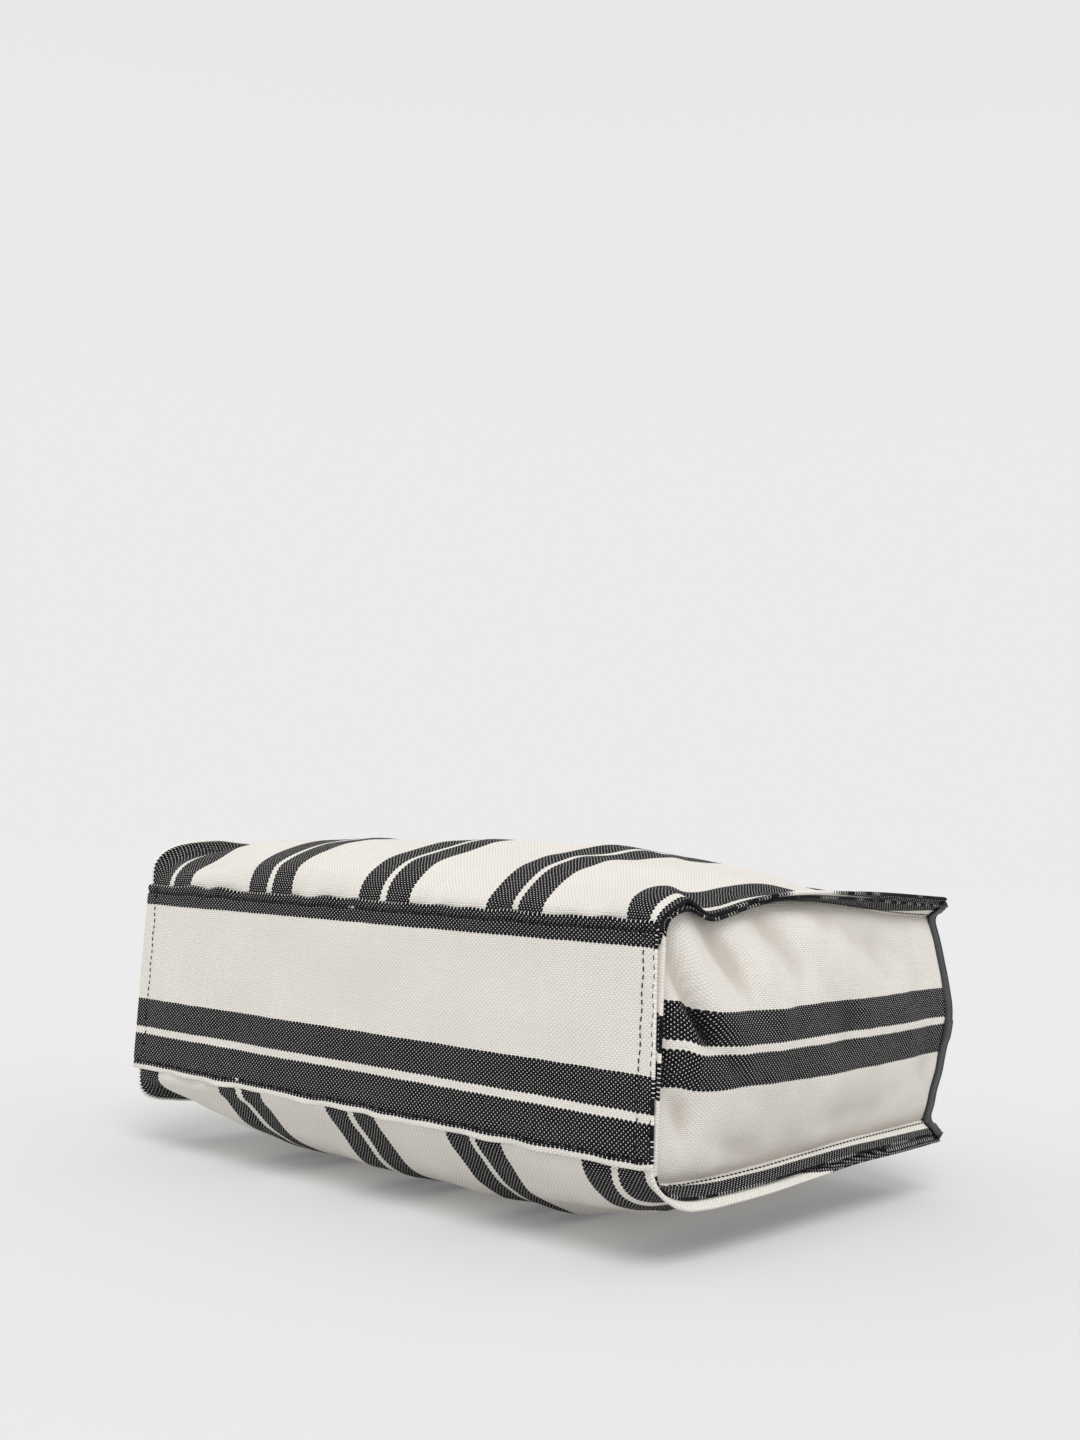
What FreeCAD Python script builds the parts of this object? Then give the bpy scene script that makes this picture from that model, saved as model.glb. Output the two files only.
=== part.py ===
"""Striped canvas tote bag, lying on its back panel.

Millimetres.  +X runs along the bag's width, +Y from its base to its mouth, +Z up from the floor.
The origin is on the flat underside of the back panel, at the middle of the bag's width and height.

The bag is sewn from five pieces of canvas.  Both gussets have their edges turned outward, so that a
narrow flange flares round each of them, and the front, back and base panels run out to its edge.
One leather tape binds the mouth.  Two rolled leather handles are stitched to the front and back.
"""

import FreeCAD, Part
import math
import os

import Sketcher

V = FreeCAD.Vector
os.makedirs("parts", exist_ok=True)
doc = FreeCAD.newDocument("canvas_tote")

# ---------------------------------------------------------------------------------------------
# Driving dimensions
# ---------------------------------------------------------------------------------------------

SIZES = [
    ("bag_width", 420),  # over the flanges
    ("bag_height", 316),  # base to mouth, over the canvas
    ("canvas", 1.6),  # heavy canvas, yarn to yarn
    ("gap", 0.2),  # air between stacked layers
    ("flange", 10),  # how far a flange stands out from its gusset
    ("flare", 8),  # how far a flange's edge stands above, or below, its seam
    ("base_low", 49),  # lower edge of the base panel
    ("base_high", 170),  # upper edge of the base panel
    ("lap", 9),  # how far the base panel laps over the front and back
    ("front_crest", 207),  # top of the front panel over its middle
    ("front_run", 104),  # from the base to that crest
    ("front_square", 1.9),  # 2 would make the rise an ellipse, and more makes it squarer
    ("front_mouth", 188),  # top of the front panel at the middle of the mouth
    ("back_run", 96),  # from the base to the lowest part of the belly
    ("back_square", 1.7),
    ("back_mouth", 28),  # underside of the back panel at the middle of the mouth
    ("belly_end", 40),  # where the back panel leaves the floor again
    ("middle_half", 90),  # half the width over which both panels keep one section
    ("side_run", 60),  # from the base to the crest, along the flanges
    ("mouth_flat", 12),  # straight stretch of each panel at the mouth
    ("binding", 9),  # width of the mouth tape on each face
    ("tape", 1.2),  # thickness of the mouth tape
    ("tape_joint", 12),  # length of the tape's overlapped ends
    ("insert_thick", 2.5),
    ("insert_width", 390),
    ("insert_depth", 112),
    ("pocket_width", 170),
    ("pocket_depth", 140),
    ("pocket_top", 70),
    ("strap_width", 24),
    ("strap_thick", 2),
    ("strap_lift", 1.4),  # the tabs clear the mouth tape by this much over the canvas
    ("tab_length", 59),
    ("tab_reach", 6),  # how far the tabs reach past the canvas at the mouth
    ("patch_length", 38),
    ("patch_thick", 1.2),
    ("handle_span", 150),  # between the two legs of a handle
    ("handle_drop", 125),  # from the hinge line to the middle of the grip
    ("sleeve_radius", 5.5),
    ("core_radius", 4),
    ("core_clear", 0.1),
    ("hinge_reach", 10),  # from the edge of the canvas to the line where a handle bends
    ("hinge_free", 8),  # from the hinge line to the stiff part of the handle
    ("strap_end", 30),  # where the flat strap ends inside the roll
    ("roll_start", 22),  # where the rolled part begins
    ("grip_lift", 0.2),  # air under the back handle's grip where it lies near the floor
]

sheet = doc.addObject("Spreadsheet::Sheet", "dims")
for row, (alias, value) in enumerate(SIZES, start=1):
    sheet.set(f"A{row}", alias)
    sheet.set(f"B{row}", str(value))
    sheet.setAlias(f"B{row}", alias)
doc.recompute()


def size(alias):
    """A driving dimension, read back from the spreadsheet."""
    return float(sheet.get(alias))


CANVAS, GAP = size("canvas"), size("gap")
HALF_WIDTH = size("bag_width") / 2
GUSSET_X = HALF_WIDTH - size("flange")
MIDDLE = size("middle_half")
MOUTH_Y = size("bag_height") / 2
BASE_Y = -MOUTH_Y
# The front and back panels start just behind the base panel.
WALL_Y = BASE_Y + CANVAS + GAP
BEND_Y = MOUTH_Y - size("mouth_flat")
HINGE_Y = MOUTH_Y + size("hinge_reach")
TAB_MIDDLE = size("strap_lift") + size("strap_thick") / 2
# How many points carry a curved section when it is moved inward.
SAMPLES = 18
# Close steps along the first part of a curve, to find where its moved copy crosses the wall.
FINE = [k / 400 for k in range(1, 240)]
SUBPARTS = []

# Across the bag, each panel passes through these sections: the height of its crest or belly, the
# height of its edge at the mouth, and the run from the base to the crest.
FRONT_MIDDLE = (size("front_crest"), size("front_mouth"), size("front_run"))
BACK_MIDDLE = (0, size("back_mouth"), size("back_run"))
FRONT_LEFT_EDGE = (201, 188, size("side_run"))
FRONT_RIGHT_EDGE = (187, 188, size("side_run"))
BACK_EDGE = (25, 32, size("side_run"))


def at_seam(edge, sign):
    """A flange's section at the gusset seam, which lies below a front edge, or above a back one."""
    high, mouth, run = edge
    return high + sign * size("flare"), mouth + sign * size("flare"), run


FRONT_STATIONS = [
    (-HALF_WIDTH, FRONT_LEFT_EDGE),
    (-GUSSET_X, at_seam(FRONT_LEFT_EDGE, -1)),
    (-165, (200, 184, 80)),
    (-MIDDLE, FRONT_MIDDLE),
    (MIDDLE, FRONT_MIDDLE),
    (140, (204, 186, 100)),
    (175, (195, 183, 80)),
    (GUSSET_X, at_seam(FRONT_RIGHT_EDGE, -1)),
    (HALF_WIDTH, FRONT_RIGHT_EDGE),
]
BACK_STATIONS = [
    (-HALF_WIDTH, BACK_EDGE),
    (-GUSSET_X, at_seam(BACK_EDGE, 1)),
    (-150, (9, 33, 80)),
    (-MIDDLE, BACK_MIDDLE),
    (MIDDLE, BACK_MIDDLE),
    (150, (9, 33, 80)),
    (GUSSET_X, at_seam(BACK_EDGE, 1)),
    (HALF_WIDTH, BACK_EDGE),
]


def keep(obj, label):
    """Gives a finished sub-part its label, which names its file."""
    obj.Label = label
    SUBPARTS.append(obj)
    return obj


# ---------------------------------------------------------------------------------------------
# Sections of the sewn panels, in planes across the X axis
# ---------------------------------------------------------------------------------------------


def at(x, y, z):
    return V(x, y, z)


def line(a, b):
    return Part.LineSegment(a, b).toShape()


def swell(t, edge, extreme, run, square):
    """A point of a panel's outer line between the lap and its crest or belly, as (y, z).

    For t from 0 to 1 it is a quarter of a superellipse, which leaves the lap upright and is level
    at the far end.
    """
    turn, power = t * math.pi / 2, 2 / square
    across = 1 - max(math.cos(turn), 0) ** power
    return WALL_Y + run * across, edge + (extreme - edge) * math.sin(turn) ** power


def ease(t, start_y, start, end):
    """A point of the line that eases from a level start to a level end at the mouth's bend."""
    share = (1 - math.cos(t * math.pi)) / 2
    return start_y + (BEND_Y - start_y) * t, start + (end - start) * share


def moved(curve, t, side, inward):
    """A point of a curve (y, z)(t) moved inward; side is 1 on the front panel, -1 on the back."""
    step = 1e-4
    (y, z), (y0, z0), (y1, z1) = (curve(t + d) for d in (0, -step, step))
    along = math.hypot(y1 - y0, z1 - z0)
    return y + side * inward * (z1 - z0) / along, z - side * inward * (y1 - y0) / along


def corner_curve(x, edge, extreme, run, square, side, inward):
    """Points of a swell moved inward, from the wall on, without the stretch that would cross it."""

    def swelling(t):
        return swell(t, edge, extreme, run, square)

    wall = WALL_Y + inward
    crossed = [t for t in FINE if moved(swelling, t, side, inward)[0] < wall]
    begin = max(crossed, default=0)
    height = moved(swelling, begin, side, inward)[1] if crossed else edge
    count = SAMPLES // 2
    steps = [begin + (1 - begin) * k / count for k in range(1, count)]
    return [at(x, wall, height)] + [at(x, *moved(swelling, t, side, inward)) for t in steps]


def easing_curve(x, start_y, start, end, side, inward, first):
    """Points of an ease moved inward, from the given step up to just before the mouth's bend."""
    count = SAMPLES // 2
    return [
        at(x, *moved(lambda t: ease(t, start_y, start, end), k / count, side, inward))
        for k in range(first, count)
    ]


def spline(points):
    curve = Part.BSplineCurve()
    curve.interpolate(points)
    return curve.toShape()


def front_section(x, station, inward, mouth_end=MOUTH_Y):
    """The front panel's outer line moved inward: the lap, the rise over the crest, the flat mouth."""
    crest, mouth, run = station
    top, wall, crest_y = size("base_high"), WALL_Y + inward, WALL_Y + run
    end = at(x, BEND_Y, mouth - inward)
    points = corner_curve(x, top, crest, run, size("front_square"), 1, inward)
    return [
        line(at(x, wall, top - size("lap")), points[0]),
        spline(points + easing_curve(x, crest_y, crest, mouth, 1, inward, 0) + [end]),
        line(end, at(x, mouth_end, mouth - inward)),
    ]


def back_section(x, station, inward, mouth_end=MOUTH_Y):
    """The back panel's outer line moved inward: lap, fall to the belly, floor, rise, flat mouth."""
    low, mouth, run = station
    edge, wall, leave = size("base_low"), WALL_Y + inward, size("belly_end")
    foot = at(x, WALL_Y + run, low + inward)
    lift, end = at(x, leave, low + inward), at(x, BEND_Y, mouth + inward)
    fall = corner_curve(x, edge, low, run, size("back_square"), -1, inward)
    climb = easing_curve(x, leave, low, mouth, -1, inward, 1)
    return [
        line(at(x, wall, edge + size("lap")), fall[0]),
        spline(fall + [foot]),
        line(foot, lift),
        spline([lift] + climb + [end]),
        line(end, at(x, mouth_end, mouth + inward)),
    ]


def ends(edges):
    """First and last point of a chain of edges that all run the same way."""
    return edges[0].Vertexes[0].Point, edges[-1].Vertexes[-1].Point


def band(section, x, station, near, far, mouth_end=MOUTH_Y):
    """A closed wire between two copies of a section, moved inward by near and by far."""
    outer = section(x, station, near, mouth_end)
    inner = section(x, station, far, mouth_end)
    first, last = ends(outer), ends(inner)
    return Part.Wire(
        outer
        + [line(first[1], last[1])]
        + list(reversed(inner))
        + [line(last[0], first[0])]
    )


def panel(name, section, stations):
    """A canvas panel lofted straight from station to station across the bag's width."""
    wires = [band(section, x, station, 0, CANVAS) for x, station in stations]
    made = doc.addObject("Part::Feature", name)
    made.Shape = Part.makeLoft(wires, True, True)
    return keep(made, name)


front_panel = panel("front_panel", front_section, FRONT_STATIONS)
back_panel = panel("back_panel", back_section, BACK_STATIONS)

# ---------------------------------------------------------------------------------------------
# Gussets: a flat side with its edge turned outward against the flange
# ---------------------------------------------------------------------------------------------


def gusset_outline(x, front, back, inward, mouth_end):
    """The closed outline of a gusset at x, inside the front, base and back panels."""
    top = front_section(x, front, inward, mouth_end)[1:]
    bottom = back_section(x, back, inward, mouth_end)[1:]
    (top_start, top_end), (low_start, low_end) = ends(top), ends(bottom)
    return Part.Wire(
        top
        + [line(top_end, low_end)]
        + list(reversed(bottom))
        + [line(low_start, top_start)]
    )


def gusset(name, side, front_edge):
    """A gusset: a flat side, and the lip that flares outward round its sewn edges."""
    inward, past_mouth = CANVAS + GAP, MOUTH_Y + CANVAS
    seam_x, edge_x = side * GUSSET_X, side * HALF_WIDTH
    front_seam, back_seam = at_seam(front_edge, -1), at_seam(BACK_EDGE, 1)

    def flared(depth, mouth_end):
        return Part.makeLoft(
            [
                gusset_outline(seam_x, front_seam, back_seam, depth, mouth_end),
                gusset_outline(edge_x, front_edge, BACK_EDGE, depth, mouth_end),
            ],
            True,
            True,
        )

    outline = gusset_outline(seam_x, front_seam, back_seam, inward, MOUTH_Y)
    flat = Part.Face(outline).extrude(V(-side * CANVAS, 0, 0))
    lip = flared(inward, MOUTH_Y).cut(flared(inward + CANVAS, past_mouth))
    made = doc.addObject("Part::Feature", name)
    made.Shape = flat.fuse(lip).removeSplitter()
    return keep(made, name)


left_gusset = gusset("left_gusset", -1, FRONT_LEFT_EDGE)
right_gusset = gusset("right_gusset", 1, FRONT_RIGHT_EDGE)

# ---------------------------------------------------------------------------------------------
# Flat pieces: base panel, base insert and inner pocket
# ---------------------------------------------------------------------------------------------


def origin_plane(body, role):
    return next(f for f in body.Origin.OriginFeatures if f.Role == role)


def slab(name, role, width, height, thickness):
    """A body with one rectangle, centred on the plane's origin, padded to a thickness.

    width, height and thickness are expressions on the spreadsheet.
    """
    body = doc.addObject("PartDesign::Body", name)
    sketch = body.newObject("Sketcher::SketchObject", name + "_outline")
    sketch.AttachmentSupport = [(origin_plane(body, role), "")]
    sketch.MapMode = "FlatFace"
    corners = [V(-40, -30, 0), V(40, -30, 0), V(40, 30, 0), V(-40, 30, 0)]
    for k in range(4):
        sketch.addGeometry(Part.LineSegment(corners[k], corners[(k + 1) % 4]), False)
    for k in range(4):
        sketch.addConstraint(Sketcher.Constraint("Coincident", k, 2, (k + 1) % 4, 1))
    for k in (0, 2):
        sketch.addConstraint(Sketcher.Constraint("Horizontal", k))
    for k in (1, 3):
        sketch.addConstraint(Sketcher.Constraint("Vertical", k))
    # The middle of the rectangle is the sketch's origin.
    sketch.addConstraint(Sketcher.Constraint("Symmetric", 0, 1, 1, 2, -1, 1))
    for label, kind, expression in (
        ("width", "DistanceX", width),
        ("height", "DistanceY", height),
    ):
        edge = 0 if kind == "DistanceX" else 1
        number = sketch.addConstraint(Sketcher.Constraint(kind, edge, 1, edge, 2, 60.0))
        sketch.renameConstraint(number, label)
        sketch.setExpression("Constraints." + label, expression)
    pad = body.newObject("PartDesign::Pad", name + "_pad")
    pad.Profile = sketch
    pad.setExpression("Length", thickness)
    return body, pad


def round_corners(body, pad, name, radius, vertical):
    """Fillets the short edges of a padded rectangle that run along its thickness."""
    doc.recompute()
    names = []
    for number, edge in enumerate(pad.Shape.Edges, start=1):
        run = edge.Vertexes[-1].Point - edge.Vertexes[0].Point
        if abs(run.normalize().dot(vertical)) > 0.99:
            names.append(f"Edge{number}")
    fillet = body.newObject("PartDesign::Fillet", name + "_corners")
    fillet.Base = (pad, names)
    fillet.setExpression("Radius", radius)
    body.Tip = fillet


# The XZ plane's normal is -Y, so a reversed pad grows towards the mouth.
base_panel, base_pad = slab(
    "base_panel",
    "XZ_Plane",
    "dims.bag_width",
    "dims.base_high - dims.base_low",
    "dims.canvas",
)
base_pad.Reversed = True
base_panel.setExpression("Placement.Base.y", "-dims.bag_height / 2")
base_panel.setExpression("Placement.Base.z", "(dims.base_high + dims.base_low) / 2")
keep(base_panel, "base_panel")

base_insert, insert_pad = slab(
    "base_insert",
    "XZ_Plane",
    "dims.insert_width",
    "dims.insert_depth",
    "dims.insert_thick",
)
insert_pad.Reversed = True
round_corners(base_insert, insert_pad, "base_insert", "4 * dims.insert_thick / 2", V(0, 1, 0))
base_insert.setExpression(
    "Placement.Base.y", "-dims.bag_height / 2 + 2 * (dims.canvas + dims.gap)"
)
base_insert.setExpression("Placement.Base.z", "(dims.base_high + dims.base_low) / 2")
keep(base_insert, "base_insert")

# ---------------------------------------------------------------------------------------------
# Mouth binding: one tape folded over the edge of every panel, its ends lapped on the right gusset
# ---------------------------------------------------------------------------------------------


def mouth_line(stations, offset):
    """The panel's edge across the mouth as (x, z) points, offset to the middle of the canvas."""
    return [(x, mouth + offset) for x, (_, mouth, _) in stations]


def stretch(start, end, half):
    """A straight stretch of tape between two (x, z) points, half as thick on each side of them."""
    (x0, z0), (x1, z1) = start, end
    run = math.hypot(x1 - x0, z1 - z0)
    ux, uz = (x1 - x0) / run, (z1 - z0) / run
    low, deep = MOUTH_Y - size("binding"), size("binding") + size("tape")
    corners = [
        V(x0 - half * (ux + uz), low, z0 - half * (uz - ux)),
        V(x1 + half * (ux - uz), low, z1 + half * (uz + ux)),
        V(x1 + half * (ux + uz), low, z1 + half * (uz - ux)),
        V(x0 - half * (ux - uz), low, z0 - half * (uz + ux)),
    ]
    outline = Part.makePolygon(corners + corners[:1])
    return Part.Face(outline).extrude(V(0, deep, 0))


def tape_loop():
    """The tape before the canvas is taken out of it, as one solid round the mouth."""
    single = CANVAS / 2 + size("tape")
    double = CANVAS + GAP / 2 + size("tape")
    front = mouth_line(FRONT_STATIONS, -CANVAS / 2)
    back = mouth_line(BACK_STATIONS, CANVAS / 2)
    pieces = [
        stretch(a, b, single)
        for edge in (front, back)
        for a, b in zip(edge[1:-2], edge[2:-1])
    ]
    # Over the ears, where the panel and the gusset's lip lie together, the tape is wider.
    layer = (CANVAS + GAP) / 2
    for edge, sign in ((front, -1), (back, 1)):
        for tip, root in ((edge[0], edge[1]), (edge[-1], edge[-2])):
            pieces.append(
                stretch(
                    (tip[0], tip[1] + sign * layer), (root[0], root[1] + sign * layer), double
                )
            )
    side_x = GUSSET_X - CANVAS / 2
    for x, top, bottom in (
        (side_x, front[-2][1], back[-2][1]),
        (-side_x, front[1][1], back[1][1]),
    ):
        pieces.append(stretch((x, bottom), (x, top), single))
    # The lapped ends stand a little prouder, half way up the right gusset.
    middle, half = (front[-2][1] + back[-2][1]) / 2, size("tape_joint") / 2
    pieces.append(
        stretch(
            (side_x, middle - half + single), (side_x, middle + half - single), single + 0.6
        )
    )
    return pieces[0].multiFuse(pieces[1:])


uncut_tape = doc.addObject("Part::Feature", "uncut_tape")
uncut_tape.Shape = tape_loop()
mouth_binding = uncut_tape
for canvas_part in (front_panel, back_panel, left_gusset, right_gusset):
    opened = doc.addObject("Part::Cut", "tape_without_" + canvas_part.Name)
    opened.Base = mouth_binding
    opened.Tool = canvas_part
    mouth_binding = opened
keep(mouth_binding, "mouth_binding")

# ---------------------------------------------------------------------------------------------
# Handle tabs on the outside of the panels, and the patches behind them
# ---------------------------------------------------------------------------------------------


def sewn_on(name, section, station, middle_x, width, near, far, low_y, high_y):
    """A strip that follows the middle of a panel between two distances inward of its outer face."""
    strip = Part.Face(band(section, 0, station, near, far, HINGE_Y)).extrude(V(width, 0, 0))
    strip.translate(V(middle_x - width / 2, 0, 0))
    # A window over the stretch that is kept, taller and wider than the strip.
    tall = size("front_crest")
    window = Part.makeBox(
        2 * width, high_y - low_y, 2 * tall, V(middle_x - width, low_y, -tall / 2)
    )
    made = doc.addObject("Part::Feature", name)
    made.Shape = strip.common(window)
    return keep(made, name)


TAB_NEAR = -size("strap_lift") - size("strap_thick")
TAB_END = MOUTH_Y + size("tab_reach")
LINING = CANVAS + GAP
PATCH_END = MOUTH_Y - size("binding") - CANVAS
for face, section, station in (
    ("front", front_section, FRONT_MIDDLE),
    ("back", back_section, BACK_MIDDLE),
):
    for hand, side in (("left", -1), ("right", 1)):
        leg_x, width = side * size("handle_span") / 2, size("strap_width")
        sewn_on(
            f"{face}_{hand}_tab",
            section,
            station,
            leg_x,
            width,
            TAB_NEAR,
            -size("strap_lift"),
            TAB_END - size("tab_length"),
            TAB_END,
        )
        sewn_on(
            f"{face}_{hand}_patch",
            section,
            station,
            leg_x,
            width,
            LINING,
            LINING + size("patch_thick"),
            PATCH_END - size("patch_length"),
            PATCH_END,
        )

sewn_on(
    "inner_pocket",
    back_section,
    BACK_MIDDLE,
    0,
    size("pocket_width"),
    LINING,
    LINING + CANVAS,
    size("pocket_top") - size("pocket_depth"),
    size("pocket_top"),
)

# ---------------------------------------------------------------------------------------------
# Rolled handles, each built hanging from its hinge line, which is the local X axis
# ---------------------------------------------------------------------------------------------


def grip_path(body, name):
    """The line of a handle: two legs joined by a half circle, in the body's XZ plane."""
    path = body.newObject("Sketcher::SketchObject", name)
    path.AttachmentSupport = [(origin_plane(body, "XZ_Plane"), "")]
    path.MapMode = "FlatFace"
    half = size("handle_span") / 2
    turn = size("handle_drop") - half
    start = size("roll_start")
    path.addGeometry(Part.LineSegment(V(-half, -start, 0), V(-half, -turn, 0)), False)
    circle = Part.Circle(V(0, -turn, 0), V(0, 0, 1), half)
    path.addGeometry(Part.ArcOfCircle(circle, math.pi, 2 * math.pi), False)
    path.addGeometry(Part.LineSegment(V(half, -turn, 0), V(half, -start, 0)), False)
    path.addConstraint(Sketcher.Constraint("Vertical", 0))
    path.addConstraint(Sketcher.Constraint("Vertical", 2))
    path.addConstraint(Sketcher.Constraint("Tangent", 0, 2, 1, 1))
    path.addConstraint(Sketcher.Constraint("Tangent", 1, 2, 2, 1))
    path.addConstraint(Sketcher.Constraint("PointOnObject", 1, 3, -2))
    for label, constraint, expression in (
        ("radius", Sketcher.Constraint("Radius", 1, half), "dims.handle_span / 2"),
        (
            "turn",
            Sketcher.Constraint("DistanceY", 1, 3, -1, 1, turn),
            "dims.handle_drop - dims.handle_span / 2",
        ),
        (
            "left_start",
            Sketcher.Constraint("DistanceY", 0, 1, -1, 1, start),
            "dims.roll_start",
        ),
        (
            "right_start",
            Sketcher.Constraint("DistanceY", 2, 2, -1, 1, start),
            "dims.roll_start",
        ),
    ):
        number = path.addConstraint(constraint)
        path.renameConstraint(number, label)
        path.setExpression("Constraints." + label, expression)
    return path


def round_section(body, name, radii):
    """Circles about the left leg, at the height where the roll starts."""
    section = body.newObject("Sketcher::SketchObject", name)
    section.AttachmentSupport = [(origin_plane(body, "XY_Plane"), "")]
    section.MapMode = "FlatFace"
    section.setExpression("AttachmentOffset.Base.z", "-dims.roll_start")
    for k, (label, expression) in enumerate(radii):
        value = 3.0 + k
        section.addGeometry(
            Part.Circle(V(-size("handle_span") / 2, 0, 0), V(0, 0, 1), value), False
        )
        number = section.addConstraint(Sketcher.Constraint("Radius", k, value))
        section.renameConstraint(number, label)
        section.setExpression("Constraints." + label, expression)
        section.addConstraint(Sketcher.Constraint("PointOnObject", k, 3, -1))
        number = section.addConstraint(
            Sketcher.Constraint("DistanceX", k, 3, -1, 1, size("handle_span") / 2)
        )
        section.renameConstraint(number, label + "_leg")
        section.setExpression(f"Constraints.{label}_leg", "dims.handle_span / 2")
    return section


def rolled(name, radii):
    """A body swept round the handle's path with the given circles as its section."""
    body = doc.addObject("PartDesign::Body", name)
    path = grip_path(body, name + "_path")
    section = round_section(body, name + "_section", radii)
    pipe = body.newObject("PartDesign::AdditivePipe", name + "_pipe")
    pipe.Profile = section
    pipe.Spine = (path, ["Edge1", "Edge2", "Edge3"])
    return body


def handle(face, hinge_z, turn):
    """A rolled handle: a leather sleeve with flat strap ends, and the cotton core inside it."""
    sleeve = rolled(
        f"{face}_sleeve_roll",
        [("inside", "dims.core_radius + dims.core_clear"), ("outside", "dims.sleeve_radius")],
    )
    straps = []
    for hand, sign in (("left", "-"), ("right", "")):
        strap = doc.addObject("Part::Box", f"{face}_{hand}_strap")
        strap.setExpression("Length", "dims.strap_width")
        strap.setExpression("Width", "dims.strap_thick")
        strap.setExpression("Height", "dims.strap_end - dims.hinge_free")
        strap.setExpression(
            "Placement.Base.x", f"{sign}dims.handle_span / 2 - dims.strap_width / 2"
        )
        strap.setExpression("Placement.Base.y", "-dims.strap_thick / 2")
        strap.setExpression("Placement.Base.z", "-dims.strap_end")
        straps.append(strap)
    joined = doc.addObject("Part::MultiFuse", f"{face}_sleeve")
    joined.Shapes = [sleeve] + straps

    rope = rolled(f"{face}_rope", [("core", "dims.core_radius")])
    trimmed = doc.addObject("Part::Cut", f"{face}_core")
    stop = doc.addObject("Part::Box", f"{face}_rope_stop")
    stop.setExpression("Length", "2 * dims.handle_span")
    stop.setExpression("Width", "4 * dims.sleeve_radius")
    stop.setExpression("Height", "dims.strap_end")
    stop.setExpression("Placement.Base.x", "-dims.handle_span")
    stop.setExpression("Placement.Base.y", "-2 * dims.sleeve_radius")
    stop.setExpression("Placement.Base.z", "-dims.strap_end - dims.core_clear")
    trimmed.Base = rope
    trimmed.Tool = stop

    swing = FreeCAD.Placement(V(0, HINGE_Y, hinge_z), FreeCAD.Rotation(V(1, 0, 0), turn))
    joined.Placement = swing
    trimmed.Placement = swing
    keep(joined, f"{face}_handle")
    keep(trimmed, f"{face}_handle_core")


front_hinge = size("front_mouth") + TAB_MIDDLE
back_hinge = size("back_mouth") - TAB_MIDDLE
# The back handle slopes down from its hinge until its grip is just clear of the floor.
fall = back_hinge - size("sleeve_radius") - size("grip_lift")
handle("front", front_hinge, 0)
handle("back", back_hinge, 90 - math.degrees(math.asin(fall / size("handle_drop"))))

# ---------------------------------------------------------------------------------------------
# Checks and export
# ---------------------------------------------------------------------------------------------

doc.recompute()
broken = [o.Name for o in doc.Objects if {"Invalid", "Error"} & set(o.State)]
if broken:
    raise RuntimeError(f"failed objects: {broken}")
for part in SUBPARTS:
    shape = part.Shape
    if shape.isNull() or not shape.isValid() or not shape.Solids:
        raise RuntimeError(f"{part.Label} has no valid solid")
    box = shape.BoundBox
    print(
        f"{part.Label:20s} solids {len(shape.Solids)}  volume {shape.Volume / 1000:8.2f} cm3  "
        f"x {box.XMin:7.1f} {box.XMax:7.1f}  y {box.YMin:7.1f} {box.YMax:7.1f}  "
        f"z {box.ZMin:7.1f} {box.ZMax:7.1f}"
    )
for part in SUBPARTS:
    part.Shape.exportStep(f"parts/{part.Label}.step")
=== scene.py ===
import math

import bpy
import numpy as np
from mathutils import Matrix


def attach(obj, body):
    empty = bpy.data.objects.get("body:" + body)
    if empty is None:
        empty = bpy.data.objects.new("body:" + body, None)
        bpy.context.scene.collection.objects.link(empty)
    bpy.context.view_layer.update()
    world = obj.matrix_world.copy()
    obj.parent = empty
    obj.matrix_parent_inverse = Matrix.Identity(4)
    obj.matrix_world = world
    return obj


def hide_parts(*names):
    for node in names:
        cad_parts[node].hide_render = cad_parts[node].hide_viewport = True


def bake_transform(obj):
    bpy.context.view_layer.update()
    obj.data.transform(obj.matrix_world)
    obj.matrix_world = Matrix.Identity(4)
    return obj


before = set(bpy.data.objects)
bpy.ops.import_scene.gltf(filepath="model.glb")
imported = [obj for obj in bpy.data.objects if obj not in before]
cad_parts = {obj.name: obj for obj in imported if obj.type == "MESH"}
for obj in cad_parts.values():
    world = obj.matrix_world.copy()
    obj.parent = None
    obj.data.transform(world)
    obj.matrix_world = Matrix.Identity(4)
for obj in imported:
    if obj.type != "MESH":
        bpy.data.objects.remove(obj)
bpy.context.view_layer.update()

# --------------------
# Camera, floor and light.  The bag lies on a plain pale floor that runs on out of sight, under an
# even white sky that dims overhead and one very large soft lamp high on the camera's side.


def new_object(name, data):
    """An object in the scene that holds the data."""
    made = bpy.data.objects.new(name, data)
    bpy.context.scene.collection.objects.link(made)
    return made


def aim(azimuth, pitch, roll):
    """Camera axes as columns: right, up and backward, for a camera that stands at the azimuth from
    -Y towards +X, looks up by the pitch and is rolled by the roll, all in degrees."""
    a, e, r = (math.radians(angle) for angle in (azimuth, -pitch, roll))
    back = np.array([math.sin(a) * math.cos(e), -math.cos(a) * math.cos(e), math.sin(e)])
    right = np.cross(-back, [0, 0, 1])
    right /= np.linalg.norm(right)
    up = np.cross(right, -back)
    turned = right * math.cos(r) + up * math.sin(r)
    return np.column_stack([turned, np.cross(back, turned), back])


lens = bpy.data.cameras.new("camera")
lens.sensor_fit = "AUTO"
lens.sensor_width = 36.0
lens.lens = 37.977
camera = new_object("camera", lens)
pose = np.eye(4)
pose[:3, :3] = aim(40.508, 5.604, 2.803)
pose[:3, 3] = (0.649, -0.770, 0.194)
camera.matrix_world = pose.T.tolist()
bpy.context.scene.camera = camera
bpy.context.scene.view_settings.view_transform = "Standard"

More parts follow.
